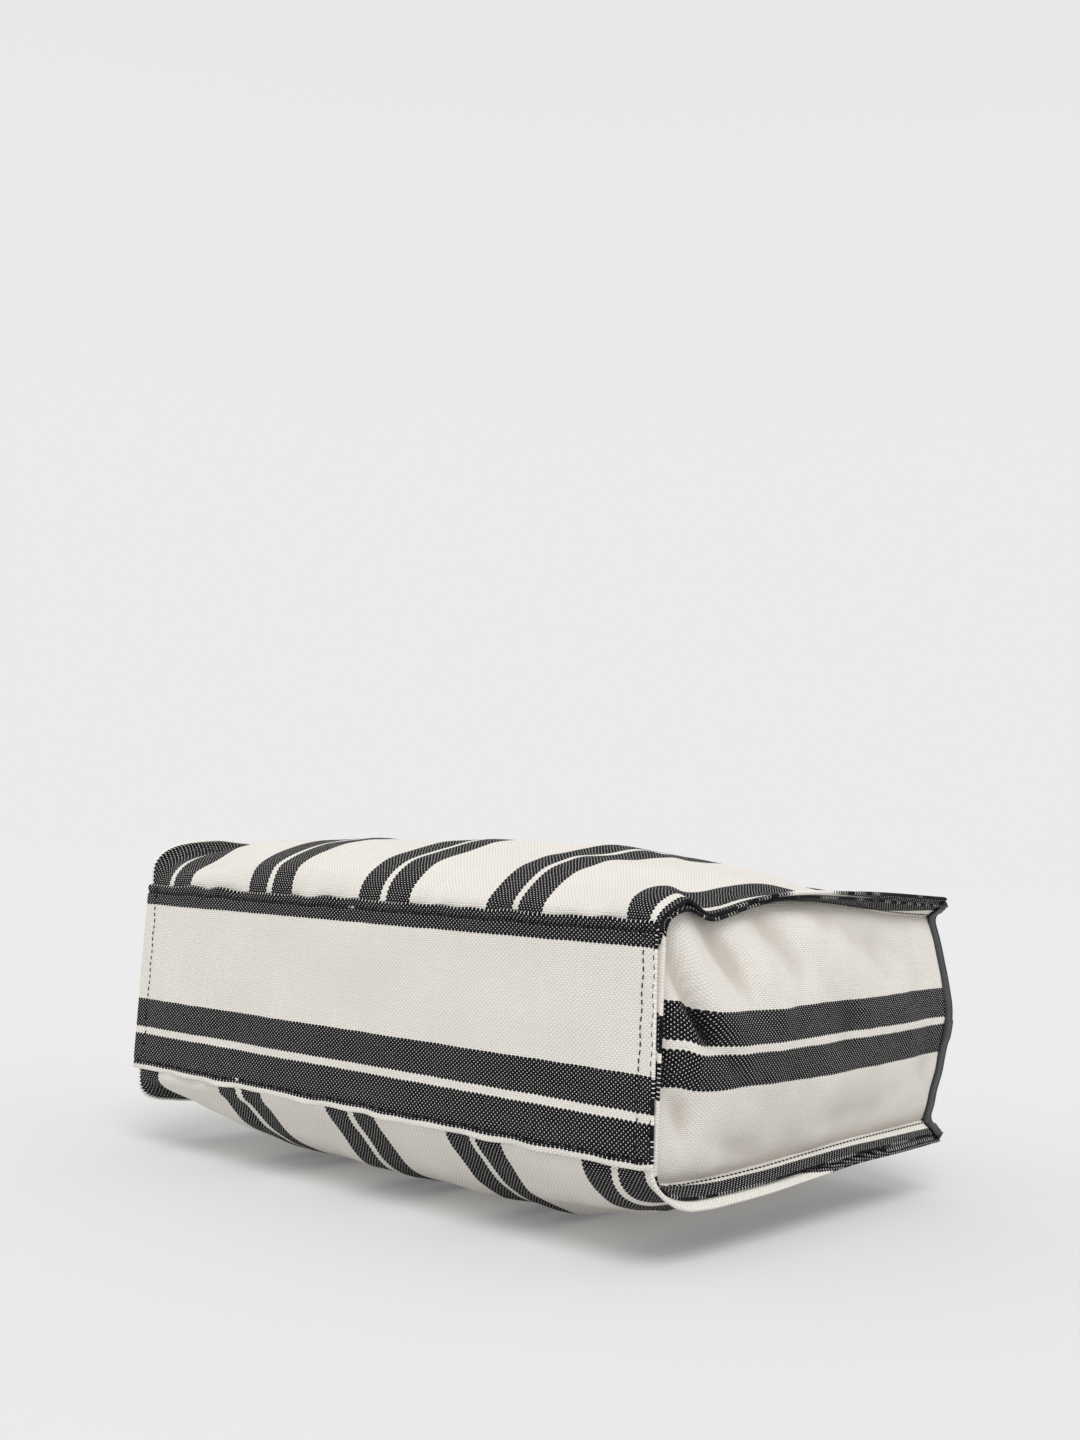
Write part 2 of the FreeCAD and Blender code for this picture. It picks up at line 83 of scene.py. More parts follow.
FLOOR_HALF = 60.0
floor_mesh = bpy.data.meshes.new("floor")
floor_mesh.from_pydata(
    [(x * FLOOR_HALF, y * FLOOR_HALF, 0) for x, y in ((-1, -1), (1, -1), (1, 1), (-1, 1))],
    [],
    [(0, 1, 2, 3)],
)
floor = new_object("floor", floor_mesh)
floor_paint = bpy.data.materials.new("floor_paint")
floor_paint.use_nodes = True
floor_face = floor_paint.node_tree.nodes["Principled BSDF"]
for name, value in (
    ("Base Color", (0.60, 0.60, 0.60, 1)),
    ("Emission Color", (1, 1, 1, 1)),
    ("Emission Strength", 0.14),
    ("Roughness", 1.0),
    ("Specular IOR Level", 0.0),
):
    floor_face.inputs[name].default_value = value
floor_mesh.materials.append(floor_paint)

sky = bpy.data.worlds.new("sky")
bpy.context.scene.world = sky
sky.use_nodes = True
light = sky.node_tree.nodes["Background"]
light.inputs["Color"].default_value = (1, 1, 1, 1)
toward = sky.node_tree.nodes.new("ShaderNodeTexCoord")
heights = sky.node_tree.nodes.new("ShaderNodeSeparateXYZ")
dimming = sky.node_tree.nodes.new("ShaderNodeMapRange")
dimming.interpolation_type = "SMOOTHSTEP"
for name, number in (("From Min", 0.25), ("From Max", 0.8), ("To Min", 0.83), ("To Max", 0.78)):
    dimming.inputs[name].default_value = number
sky.node_tree.links.new(toward.outputs["Generated"], heights.inputs["Vector"])
sky.node_tree.links.new(heights.outputs["Z"], dimming.inputs["Value"])
sky.node_tree.links.new(dimming.outputs["Result"], light.inputs["Strength"])

lamp_data = bpy.data.lights.new("soft_lamp", "SUN")
lamp_data.energy = 1.45
lamp_data.angle = math.radians(30)
lamp_pose = np.eye(4)
lamp_pose[:3, :3] = aim(45, -53, 0)
new_object("soft_lamp", lamp_data).matrix_world = lamp_pose.T.tolist()

# --------------------
# Front panel: the large striped canvas panel on top.  Its base end curls over and down behind the
# base panel, its two sides run out into the narrow flanges, and it is puffed up and slack.  Sizes
# are worked out in millimetres, and made into metres as they go into a mesh.

MM = 0.001
CANVAS = 1.6
FOLDED = 2.3
PANEL_HALF = 208.5
TURNED_FROM = 200.5


def share(x):
    """The value kept between 0 and 1."""
    return np.clip(x, 0, 1)


def eased(x):
    """Smooth step from 0 to 1: three times the square less twice the cube."""
    return share(x) ** 2 * (3 - 2 * share(x))


def bell(x, width):
    """A bell of height 1: e to the minus square of x over the width."""
    return np.exp(-((x / width) ** 2))


def smooth_through(x, knots, values):
    """Cubic Hermite curve through (knots, values): each knot's slope is that of the parabola
    through its neighbours."""
    knots, values = np.asarray(knots, float), np.asarray(values, float)
    slope = np.gradient(values, knots, axis=0)
    x = np.clip(x, knots[0], knots[-1])
    i = np.clip(np.searchsorted(knots, x, side="right") - 1, 0, len(knots) - 2)
    extra = (1,) * (values.ndim - 1)
    h = (knots[i + 1] - knots[i]).reshape(x.shape + extra)
    t = (x - knots[i]).reshape(x.shape + extra) / h
    return (
        (1 + 2 * t) * (1 - t) ** 2 * values[i]
        + t * (1 - t) ** 2 * h * slope[i]
        + t * t * (3 - 2 * t) * values[i + 1]
        + t * t * (t - 1) * h * slope[i + 1]
    )


def run_of(points):
    """Length along a line at each of its points: the running sum of its steps."""
    return np.r_[0, np.cumsum(np.linalg.norm(np.diff(points, axis=0), axis=1))]


def read_at(run, where, values):
    """Each column of a line's values, read at other lengths along the line."""
    return np.stack([np.interp(where, run, column) for column in values.T], -1)


def evenly(points, count):
    """Smooth curve through the points, cut into equal lengths: length along the chords first, then
    length along the curve."""
    points = np.asarray(points, float)
    chord = run_of(points)
    fine = smooth_through(np.linspace(0, chord[-1], count * 10), chord, points)
    run = run_of(fine)
    return read_at(run, np.linspace(0, run[-1], count), fine)


def unit(vectors):
    """The vectors divided by their lengths."""
    return vectors / np.maximum(np.linalg.norm(vectors, axis=-1, keepdims=True), 1e-9)


def ripple(u, v, seed, length, count=14):
    """Slow random waves: the mean of many sine waves with random directions and phases, whose
    lengths lie between 0.7 and 1.6 times the given one."""
    rng = np.random.default_rng(seed)
    turn, phase = rng.uniform(0, 2 * np.pi, (2, count))
    wave = 2 * np.pi / (length * rng.uniform(0.7, 1.6, count))
    total = sum(
        np.sin(k * (u * np.cos(a) + v * np.sin(a)) + p) for a, p, k in zip(turn, phase, wave)
    )
    return total / math.sqrt(count / 2)


def normals_of(grid, side):
    """Unit normals of a grid of points: the cross product of its steps in its two directions."""
    return side * unit(np.cross(np.gradient(grid, axis=0), np.gradient(grid, axis=1)))


def sheet_arrays(face, uv, thick, side):
    """A closed sheet of cloth from its outer face.  The inner face lies one thickness behind,
    along the normals, and the rim between them is half a circle.  Gives points, faces and UVs."""
    m, n = face.shape[:2]
    normal = normals_of(face, side)
    thick = np.broadcast_to(thick, (m, n))[..., None]
    back = face - normal * thick
    a, b = np.arange(m - 1), np.arange(n - 1)
    i = np.r_[a, 0 * b + m - 1, m - 1 - a, 0 * b]
    j = np.r_[0 * a, b, 0 * a + n - 1, n - 1 - b]
    inner = face[np.clip(i, 1, m - 2), np.clip(j, 1, n - 2)]
    out = face[i, j] - inner
    n_rim = normal[i, j]
    out = unit(out - n_rim * np.sum(out * n_rim, axis=1, keepdims=True))
    middle = (face[i, j] + back[i, j]) / 2
    half = thick[i, j] / 2
    angles = np.radians([45, 90, 135])
    rims = [middle + half * (np.cos(a) * n_rim + np.sin(a) * out) for a in angles]
    points = np.concatenate([face.reshape(-1, 3), back.reshape(-1, 3)] + rims)
    flat = uv.reshape(-1, 2)
    uvs = np.concatenate([flat, flat] + [uv[i, j]] * 3)
    index = np.arange(m * n).reshape(m, n)
    quads = np.stack([index[:-1, :-1], index[1:, :-1], index[1:, 1:], index[:-1, 1:]], -1)
    quads = quads.reshape(-1, 4)
    count = len(i)
    loops = [index[i, j]] + [2 * m * n + k * count + np.arange(count) for k in range(3)]
    loops.append(index[i, j] + m * n)
    rim_quads = [
        np.stack([a, b, np.roll(b, -1), np.roll(a, -1)], -1) for a, b in zip(loops, loops[1:])
    ]
    faces = np.concatenate([quads, quads[:, ::-1] + m * n] + rim_quads)
    return points, [faces if side > 0 else faces[:, ::-1]], uvs


def make_piece(name, parts, material):
    """One mesh object, in metres, from parts in millimetres: points, groups of faces, and UVs."""
    faces, start = [], 0
    for part in parts:
        for group in part[1]:
            faces += (group + start).tolist()
        start += len(part[0])
    points = np.concatenate([part[0] for part in parts])
    uvs = np.concatenate([part[2] for part in parts])
    mesh = bpy.data.meshes.new(name)
    mesh.from_pydata((points * MM).tolist(), [], faces)
    layer = mesh.uv_layers.new(name="cloth")
    corner = np.empty(len(mesh.loops), int)
    mesh.loops.foreach_get("vertex_index", corner)
    layer.data.foreach_set("uv", (uvs * MM)[corner].ravel())
    mesh.polygons.foreach_set("use_smooth", np.ones(len(mesh.polygons), bool))
    mesh.materials.append(material)
    mesh.update()
    return new_object(name, mesh)


class Socket:
    """A shader value that can be added, multiplied and compared like a number."""

    def __init__(self, tree, socket):
        self.tree, self.socket = tree, socket

    def node(self, kind, inputs=(), output=0, **settings):
        """Makes any other node: its settings first, then its values or links, and its output."""
        made = self.tree.nodes.new(kind)
        for key, value in settings.items():
            setattr(made, key, value)
        for key, value in dict(inputs).items():
            if isinstance(value, Socket):
                self.tree.links.new(value.socket, made.inputs[key])
            else:
                made.inputs[key].default_value = value
        return Socket(self.tree, made.outputs[output])

    def math(self, operation, *others):
        """A Math node on this value and the others."""
        values = dict(enumerate((self,) + others))
        return self.node("ShaderNodeMath", values, operation=operation)

    def __add__(self, other):
        return self.math("ADD", other)

    def __sub__(self, other):
        return self.math("SUBTRACT", other)

    def __mul__(self, other):
        return self.math("MULTIPLY", other)

    def __truediv__(self, other):
        return self.math("DIVIDE", other)

    def __rsub__(self, other):
        return (self * -1.0) + other

    def __gt__(self, other):
        return self.math("GREATER_THAN", other)

    __radd__ = __add__
    __rmul__ = __mul__

    def blend(self, low, high):
        """Colour low where this is 0, colour high where it is 1."""
        return self.node(
            "ShaderNodeMix", {0: self, 6: low, 7: high}, output=2, data_type="RGBA"
        )

    def ramp(self, low, high):
        """Smooth step from 0 at low to 1 at high."""
        return self.node(
            "ShaderNodeMapRange", {0: self, 1: low, 2: high}, interpolation_type="SMOOTHSTEP"
        )

    def noise(self, scale, detail, roughness=0.5):
        """Noise read at this place."""
        values = {"Vector": self, "Scale": scale, "Detail": detail, "Roughness": roughness}
        return self.node("ShaderNodeTexNoise", values)


def new_material(name, roughness, specular, space="Object"):
    """A material with one Principled shader, that shader's node, and the place on the piece, as a
    value to build others from."""
    material = bpy.data.materials.new(name)
    material.use_nodes = True
    tree = material.node_tree
    face = tree.nodes["Principled BSDF"]
    face.inputs["Roughness"].default_value = roughness
    face.inputs["Specular IOR Level"].default_value = specular
    place = tree.nodes.new("ShaderNodeTexCoord")
    return material, face, Socket(tree, place.outputs[space])


def painted_hollow_shade(height, reach):
    """Amount of painted shade, 1 in the cloth's hollows: how far each point lies behind the mean
    of the surface round it, where the mean is taken by averaging neighbours again and again."""
    mean = height.copy()
    for _ in range(reach):
        wide = np.pad(mean, 1, mode="edge")
        mean = (wide[:-2, 1:-1] + wide[2:, 1:-1] + wide[1:-1, :-2] + wide[1:-1, 2:]) / 4
    return share((mean - height) / 2.2)


def set_painted_shade(piece, values):
    """Gives a piece's first points, those of its outer face, their values of painted shade for the
    cloth's hollows and grooves.
    """
    full = np.zeros(len(piece.data.vertices))
    full[: values.size] = values.ravel()
    piece.data.attributes.new("hollow_shade", "FLOAT", "POINT").data.foreach_set("value", full)


def plug(value, face, name):
    """Links a value to one of the shader's sockets."""
    value.tree.links.new(value.socket, face.inputs[name])


def emboss(height, face, strength, distance):
    """Raises the surface by the height: a Bump node into the shader's normal."""
    values = {"Strength": strength, "Distance": distance, "Height": height}
    plug(height.node("ShaderNodeBump", values), face, "Normal")


ECRU = (0.89, 0.857, 0.80, 1)
ECRU_DARK = (0.70, 0.655, 0.59, 1)
BLACK = (0.0035, 0.0035, 0.004, 1)
BLACK_WORN = (0.026, 0.026, 0.030, 1)
DOT_DULL = (0.66, 0.64, 0.60, 1)
DOT_BRIGHT = (0.92, 0.91, 0.88, 1)
FLECK = (0.20, 0.13, 0.08, 1)
# The next two colours are painted shade: one for the gaps between the yarns, one for the cloth's
# hollows and grooves.
GAP_SHADE = (0.42, 0.37, 0.30, 1)
SHADED = (0.55, 0.50, 0.44, 1)
YARNS = 88
WARP = 0.1 / YARNS
WEFT = 0.00138


def canvas_material(name, striped):
    """Plain-weave canvas read from the cloth's own UVs, in metres: u across the stripes, v along.

    The warp runs along v.  A yarn's profile is |sin|, cut by the other yarns where a checkerboard
    says that they pass over it.  Black warp yarns leave only a small oval of each ecru weft yarn.
    """
    material, face, place = new_material(name, 0.9, 0.12, "UV")
    slow = place.noise(55.0, 2.0)
    u = place.node("ShaderNodeSeparateXYZ", {0: place})
    v = Socket(u.tree, u.socket.node.outputs[1])
    # The yarns wander by a fraction of their width.
    u_yarn = u / WARP + (slow - 0.5) * 0.9
    v_yarn = v / WEFT + (slow - 0.5) * 1.3
    column, row = u_yarn.math("FLOOR"), v_yarn.math("FLOOR")
    over = ((column + row) * 0.5).math("FRACT") > 0.25
    across = (u_yarn - column) * 2.0 - 1.0
    along = (v_yarn - row) * 2.0 - 1.0
    # Each yarn's own shade: white noise by its number.
    warp_shade = place.node(
        "ShaderNodeTexWhiteNoise", {"W": column + 0.5}, noise_dimensions="1D"
    )
    weft_shade = place.node("ShaderNodeTexWhiteNoise", {"W": row + 9.5}, noise_dimensions="1D")
    fine = place.noise(2600.0, 3.0, 0.7)
    broad = place.noise(14.0, 3.0)
    lint = place.noise(330.0, 2.0)
    dot = across * across + along * along * 2.0 + (fine - 0.5) * 0.5 + (lint - 0.5) * 0.5
    weft_seen = (1.0 - over) * (1.0 - dot.ramp(0.20, 0.34))
    # Painted shade in the gaps between the yarns, which are darkened; the cells where the weft
    # lies on top are also a little darker.
    gap_shade = across.math("ABSOLUTE").math("POWER", 6.0) + along.math("ABSOLUTE").math("POWER", 6.0)
    shade = (broad - 0.5) * 0.35 + (fine - 0.5) * 0.45 + (warp_shade + weft_shade - 1.0) * 0.10
    shade = shade + 0.22 + (0.5 - over) * 0.80
    plain = shade.ramp(0.0, 1.0).blend(ECRU, ECRU_DARK)
    plain = (gap_shade.ramp(0.5, 1.8) * 0.58).blend(plain, GAP_SHADE)
    cell = place.node(
        "ShaderNodeTexVoronoi", {"Vector": place, "Scale": 38.0, "Randomness": 1.0}, output=1
    )
    spot = place.node("ShaderNodeTexVoronoi", {"Vector": place, "Scale": 38.0})
    chosen = cell.node("ShaderNodeSeparateColor", {0: cell}) > 0.93
    fleck = chosen * (1.0 - spot.ramp(0.008, 0.022)) * 0.75
    plain = fleck.blend(plain, FLECK)
    # Painted shade: the cloth's colour is darkened in its hollows and grooves, where the piece's
    # painted shade values are high.
    hollow_shade = place.node("ShaderNodeAttribute", output=2, attribute_name="hollow_shade")
    plain = (hollow_shade * (fine * 0.5 + 0.45)).blend(plain, SHADED)

    colour = plain
    if striped:
        # Counted in yarns from the middle of a pair of bands, whose edges are scalloped by the
        # crowns of their outer yarns.
        repeat = float(YARNS)
        offset = (u_yarn + repeat * 50.5).math("MODULO", repeat) - repeat / 2
        crown = (v_yarn * math.pi).math("SINE") * offset.math("SIGN")
        d = offset.math("ABSOLUTE") - crown * 0.3
        band = d.ramp(1.9, 2.1) * (1.0 - d.ramp(18.2, 18.4))
        rubbed = (lint - 0.5) * 2.6 + (fine - 0.5) * 0.8 + (broad - 0.5) * 0.8 + warp_shade * 0.3
        dyed = (rubbed + 0.15).blend(BLACK, BLACK_WORN)
        dots = ((lint - 0.5) * 2.0 + 0.6).blend(DOT_DULL, DOT_BRIGHT)
        black = weft_seen.blend(dyed, dots)
        # Painted shade in the hollows also turns the bands fully black, hiding their white dots.
        black = (hollow_shade * 0.85).blend(black, BLACK)
        colour = band.blend(plain, black)
    plug(colour, face, "Base Color")

    warp_crown = (1.0 - across * across).math("MAXIMUM", 0.0).math("SQRT")
    weft_crown = (1.0 - along * along).math("MAXIMUM", 0.0).math("SQRT")
    height = over * warp_crown * (1.0 - along * along * 0.7)
    height = height + (1.0 - over) * weft_crown * (1.0 - across * across * 0.7)
    height = height + (fine - 0.5) * 0.35
    emboss(height, face, 0.8, 0.0005)
    return material


striped_canvas = canvas_material("striped_canvas", True)
plain_canvas = canvas_material("plain_canvas", False)

# The panel's section at several places x across the bag, as rows of y and z, from behind the base
# panel, up over the swell and down to the mouth.
FRONT_SECTIONS = {
    -209: [[-156, -156, -157, -156.5, -151, -140, -127, -110, -75, -30, 40, 100, 158],
        [161, 169, 178, 186, 193, 198.5, 201.5, 203.5, 202.5, 199, 194, 190, 188]],
    -200: [[-156, -156, -155, -152, -146, -136, -120, -100, -70, -30, 40, 100, 158],
        [161, 169, 176, 182, 187, 191, 193.5, 194.5, 193, 189.5, 185, 181, 180]],
    -185: [[-156, -156, -154, -149, -141, -130, -118, -100, -70, -30, 40, 100, 158],
        [161, 170, 178, 184, 189, 193, 196, 198, 198, 195, 188, 183, 181.5]],
    -171: [[-156, -156, -153, -146, -138, -130, -120, -104, -78, -40, 30, 100, 158],
        [161, 170, 180, 184.5, 188.5, 193, 197.5, 201, 203, 200.5, 193, 186, 184]],
    -130: [[-156, -156, -155, -151.5, -146, -138, -128, -112, -80, -40, 30, 100, 158],
        [161, 170, 177, 184, 189.5, 194, 198, 203, 206, 205, 197, 189.5, 186]],
    -67: [[-156, -156, -154.5, -151, -145, -138, -129, -112, -80, -40, 30, 100, 158],
        [161, 170, 180, 187.5, 192, 196, 199.8, 204.3, 207.6, 207.5, 200.5, 192, 188]],
    34: [[-156, -156, -153.5, -147, -137, -126, -112, -92, -68, -30, 40, 105, 158],
        [161, 170, 179, 186, 193, 197.6, 202, 206.8, 209.7, 209.5, 202, 192.5, 188]],
    133: [[-156, -156, -154.5, -149, -141, -130, -117, -100, -76, -40, 30, 100, 158],
        [161, 169.5, 175, 181, 187, 192.3, 196, 200, 203, 205.5, 199.5, 190, 186.5]],
    165: [[-156, -156, -155, -151, -144, -134, -122, -108, -80, -45, 30, 100, 158],
        [161, 169, 174, 179.5, 185, 189.3, 192, 193.8, 196.5, 198, 193, 186, 183.5]],
    188: [[-156, -156.2, -156, -152.5, -143, -131, -119, -108, -90, -66, -48, 40, 158],
        [161, 169, 174.5, 181, 186, 188.6, 188.6, 185.9, 186, 189.5, 191.2, 185.5, 181.5]],
    200: [[-156, -156.2, -156, -152.5, -144, -134, -123, -113, -98, -76, -50, 0, 50, 100, 158],
        [161, 168.5, 173, 178.5, 183.5, 186, 183.5, 179.6, 179.8, 183.5, 185.8, 186.5, 184.5,
         181.5, 180]],
    209: [[-156, -156.2, -155.5, -150, -141, -132, -123, -114, -101, -80, -50, 40, 158],
        [161, 167.5, 172, 176, 180, 182.5, 179.6, 175.6, 177.2, 182, 187, 190.3, 189]],
}
ROWS = 128


def across_positions(half, step, edge_step):
    """Positions across the bag, closer together over the flanges."""
    middle = np.arange(-185, 185.1, step)
    side = np.arange(185 + edge_step, half, edge_step)
    return np.r_[-half, -side[::-1], middle, side, half]


def panel_grid(sections, x):
    """Surface through the sections: each is cut into equal lengths, and the curves across the bag
    through their matching points are smooth.  Gives the points and the length along each line."""
    knots = sorted(sections)
    lines = np.stack([evenly(np.transpose(sections[k]), ROWS) for k in knots])
    yz = smooth_through(x, knots, lines)
    grid = np.concatenate([np.broadcast_to(x[:, None, None], yz.shape[:2] + (1,)), yz], -1)
    step = np.linalg.norm(np.diff(yz, axis=1), axis=-1)
    run = np.concatenate([np.zeros((len(x), 1)), np.cumsum(step, axis=1)], 1)
    return grid, run


def flange_thickness(x):
    """Single cloth, and double where its edge is turned in along the flanges."""
    return CANVAS + (FOLDED - CANVAS) * eased((np.abs(x) - TURNED_FROM) / 1.5)


panel_x = across_positions(PANEL_HALF, 3.0, 1.6)
front_grid, front_run = panel_grid(FRONT_SECTIONS, panel_x)
gx, gy = front_grid[..., 0], front_grid[..., 1]
front_u = np.interp(
    gx, [-209, -189, -89, 13, 113, 187.8, 204, 209], [-222, -200, -100, 0, 100, 179.3, 200, 206.5]
)
# Over the right flange the cloth drifts inward half way along, which brings its white line to the
# edge there.
drift = bell(gy + 10, 55) * share((gx - 196) / 12) * 4.5
front_u = front_u - drift
front_uv = np.stack([front_u, front_run], -1)
front_normal = normals_of(front_grid, 1)
near_lap = np.exp(-np.maximum(front_run - 10, 0) / 9) * share((200 - np.abs(gx)) / 15)
middle_part = share((195 - np.abs(gx)) / 30) * share(front_run / 40)
slack = (
    ripple(gx, front_run * 0.2, 3, 24) * 0.55 * near_lap
    + ripple(gx, gy, 5, 85) * 0.8 * middle_part
    + ripple(gx, gy, 8, 30) * 0.16 * middle_part
)
front_face = front_grid + front_normal * slack[..., None]
front_panel = make_piece(
    "front_panel_cloth",
    [sheet_arrays(front_face, front_uv, flange_thickness(gx), 1)],
    striped_canvas,
)
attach(front_panel, "bag")
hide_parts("front_panel")

# --------------------
# Back panel: the same canvas panel underneath.  It falls away from behind the base panel into a
# belly that rests on the floor, rises again to the mouth, and ends in the lower flanges.

BACK_SECTIONS = {
    -209: [[-156, -156, -156, -154.5, -150, -144, -130, -110, -60, 0, 60, 120, 158],
        [58, 50, 43, 37, 32, 29.5, 27, 25, 24.5, 26, 29, 31.5, 32]],
    -200: [[-156, -156, -155.5, -152.5, -146, -135, -112, -85, -50, 0, 60, 120, 158],
        [58, 50, 46, 42, 39.5, 37, 34.5, 33.7, 33.5, 35, 38, 40, 41]],
    -186: [[-156, -156, -155.5, -153, -149, -143, -134, -120, -95, -40, 30, 100, 158],
        [58, 50, 45, 42, 39, 36, 32.5, 29, 26, 25, 27.5, 32.5, 36]],
    -160: [[-156, -156, -155.5, -152, -146, -139, -131, -120, -104, -60, 20, 95, 158],
        [58, 50, 45, 42, 38, 33, 28, 22, 17, 13, 13.5, 23, 32]],
    -125: [[-156, -156, -154.5, -148, -141, -134, -126, -115, -98, -55, 20, 95, 158],
        [58, 50, 45, 40, 33, 26, 20.5, 16, 11, 5, 4.5, 16.5, 29]],
    -60: [[-156, -156, -152, -145, -138, -131, -122, -110, -94, -55, 20, 95, 158],
        [58, 50, 44, 37, 30, 23.5, 17.5, 12, 6.5, 1.6, 1.2, 11, 28]],
    20: [[-156, -156, -151.5, -145, -137, -129, -120, -108, -93, -55, 20, 95, 158],
        [58, 50, 43.5, 37, 29, 21.5, 15.7, 10.5, 5.6, 1.2, 1.2, 11, 28]],
    110: [[-156, -156, -152, -145.5, -138, -130, -120, -108, -92, -52, 20, 95, 158],
        [58, 50, 43.5, 37, 29.5, 22.5, 17, 12, 7.5, 2.8, 2.6, 12.5, 28]],
    140: [[-156, -156, -152.5, -146, -139, -131, -121, -108, -90, -50, 20, 95, 158],
        [58, 50, 43, 36, 30, 24.5, 19.3, 14.5, 10.5, 7.5, 8, 17, 29.5]],
    169: [[-156, -156, -152.5, -145, -135, -124, -108, -85, -50, 0, 50, 105, 158],
        [58, 49.5, 41.8, 33.5, 26.8, 22.5, 19.5, 17.7, 17, 17, 20, 27, 33]],
    187: [[-156, -156, -153.5, -146, -136, -122, -105, -80, -50, 0, 50, 105, 158],
        [58, 49.5, 42.5, 35.5, 30.8, 27.6, 26, 25.2, 25, 26.3, 28.5, 31.5, 35.5]],
    200: [[-156, -156, -154, -147, -137, -122, -105, -80, -50, 0, 50, 105, 158],
        [58, 51, 46.5, 41.5, 38, 36.2, 35.6, 35.5, 36, 38, 40, 41, 42]],
    209: [[-156, -155.8, -154, -148, -139, -124, -107, -82, -52, 0, 50, 105, 158],
        [58, 50, 45, 38.5, 32.8, 27.8, 26.2, 26, 26.4, 28.8, 31.2, 31.8, 33]],
}
back_grid, back_run = panel_grid(BACK_SECTIONS, panel_x)
bx, by = back_grid[..., 0], back_grid[..., 1]
back_u = np.interp(bx, [-209, -105, -5, 91, 186, 209], [-199, -100, 0, 100, 200, 225])
back_u = back_u - 10 * share((by + 20) / 110) * share((bx - 199) / 8)
# Each further piece is cut ten stripe repeats on, so that no two share the cloth's random marks.
CUT = 1000
back_uv = np.stack([back_u + CUT, back_run], -1)
near_lap = np.exp(-np.maximum(back_run - 10, 0) / 12) * share((200 - np.abs(bx)) / 15)
falling = share((195 - np.abs(bx)) / 30) * share(back_run / 40)
falling = falling * np.clip((-40 - by) / 40, 0.1, 1)
slack = (
    ripple(bx, back_run * 0.2, 13, 26) * 0.6 * near_lap
    + ripple(bx, by, 15, 60) * 1.0 * falling
    + ripple(bx, by, 18, 25) * 0.25 * falling
)
back_face = back_grid + normals_of(back_grid, -1) * slack[..., None]
back_face[..., 2] = np.maximum(back_face[..., 2], 0.4)
# The flanges are thinner towards the mouth, where their edge isn't pulled over the seam.
rim_thinner = 1.1 * share((np.abs(bx) - 202) / 3) * share((by + 120) / 120)
back_panel = make_piece(
    "back_panel_cloth",
    [sheet_arrays(back_face, back_uv, flange_thickness(bx) - rim_thinner, -1)],
    striped_canvas,
)
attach(back_panel, "bag")
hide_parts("back_panel")

# --------------------
# Base panel: a flat canvas panel whose long edges are turned in and lapped over the front and back
# panels, and whose short ends are turned in at the flanges.

BASE_FRONT = -158.0
LAP_SEAM = 4.2
TURNED = 8.5
base_x = np.r_[np.arange(-209.5, -195, 1.5), np.arange(-195, 195, 3.0), np.arange(195, 210, 1.5)]
low, high = 51.4, 170.5
base_z = np.r_[
    np.linspace(low, low + 12, 19)[:-1],
    np.linspace(low + 12, high - 12, 40)[:-1],
    np.linspace(high - 12, high, 19),
]
zx, zz = np.meshgrid(base_x, base_z, indexing="ij")
up = (zz - low) / (high - low)
# The ends lean a little, and the lower right corner is rounded.
lean = np.interp(up, [0, 1], [1.5, -1.5]) * share(zx / 190 - 0.2)
lean = lean - np.interp(up, [0, 1], [4.2, 1.2]) * share(-zx / 60 - 2.6)
near_corner = share(1 - np.hypot(210 - zx, zz - low) / 9)
edge_top = share(1 - (high - zz) / 11)
edge_low = share(1 - (zz - low) / 11)
wave_top = ripple(zx, 0 * zx, 21, 34)
wave_low = ripple(zx, 0 * zx, 22, 34)
away = share((205 - np.abs(zx)) / 30)
bz = zz + (edge_top * wave_top * 0.7 + edge_low * wave_low * 0.3) * away + near_corner * 2.0
by_ = (
    BASE_FRONT
    - (edge_top**2 * (0.9 + 0.6 * ripple(zx, zz * 0.2, 23, 22))
       + edge_low**2 * (0.35 + 0.35 * ripple(zx, zz * 0.2, 24, 22))) * away
    + ripple(zx, zz, 25, 75) * 0.55 * away
    + 1.1 * bell(high - LAP_SEAM - zz, 0.9)
    + 0.7 * bell(zz - low - LAP_SEAM, 0.9)
    + 0.5 * bell(np.abs(zx) - 200, 1.4)
)
# Painted shade along the base panel's two lap grooves, given to the cloth as its darkening values.
groove_shade = bell(high - LAP_SEAM - zz, 0.6) + 0.5 * bell(zz - low - LAP_SEAM, 0.5)
base_face = np.stack([zx + lean, by_, bz], -1)
base_u = np.interp(
    zz, [48, 53.3, 73.8, 78.1, 96.5, 158, 172], [-27, -20.9, -2.2, 2.2, 20.9, 79.1, 93]
)
base_uv = np.stack([base_u + 2 * CUT, zx + 3.0], -1)
from_edge = np.minimum(np.minimum(high - zz, zz - low), 209.5 - np.abs(zx))
turned = share(1 - (from_edge - TURNED) / 1.5)
base_panel = make_piece(
    "base_panel_cloth",
    [sheet_arrays(base_face, base_uv, 1.2 + 0.8 * turned, 1)],
    striped_canvas,
)
set_painted_shade(base_panel, groove_shade)
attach(base_panel, "bag")
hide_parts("base_panel")

# --------------------
# Gussets: the canvas sides.  Each bulges outward, and its edge is turned out at the seam line into
# a lip that lies against the panels' edges and makes the flange with them.

ROOT_X = 200.0
MOUTH_Y = 158.0
LIP = 2.0
SEAM_GAP = 3.0
PAIR_HALF = 20.9
BETWEEN_PAIRS = 58.2


def height_along(face, x, y):
    """Height of a panel's outer face over the places y, on the grid line nearest to x."""
    line = face[np.argmin(np.abs(panel_x - x))]
    places = np.maximum.accumulate(line[:, 1]) + np.arange(ROWS) * 1e-6
    return np.interp(y, places, line[:, 2])


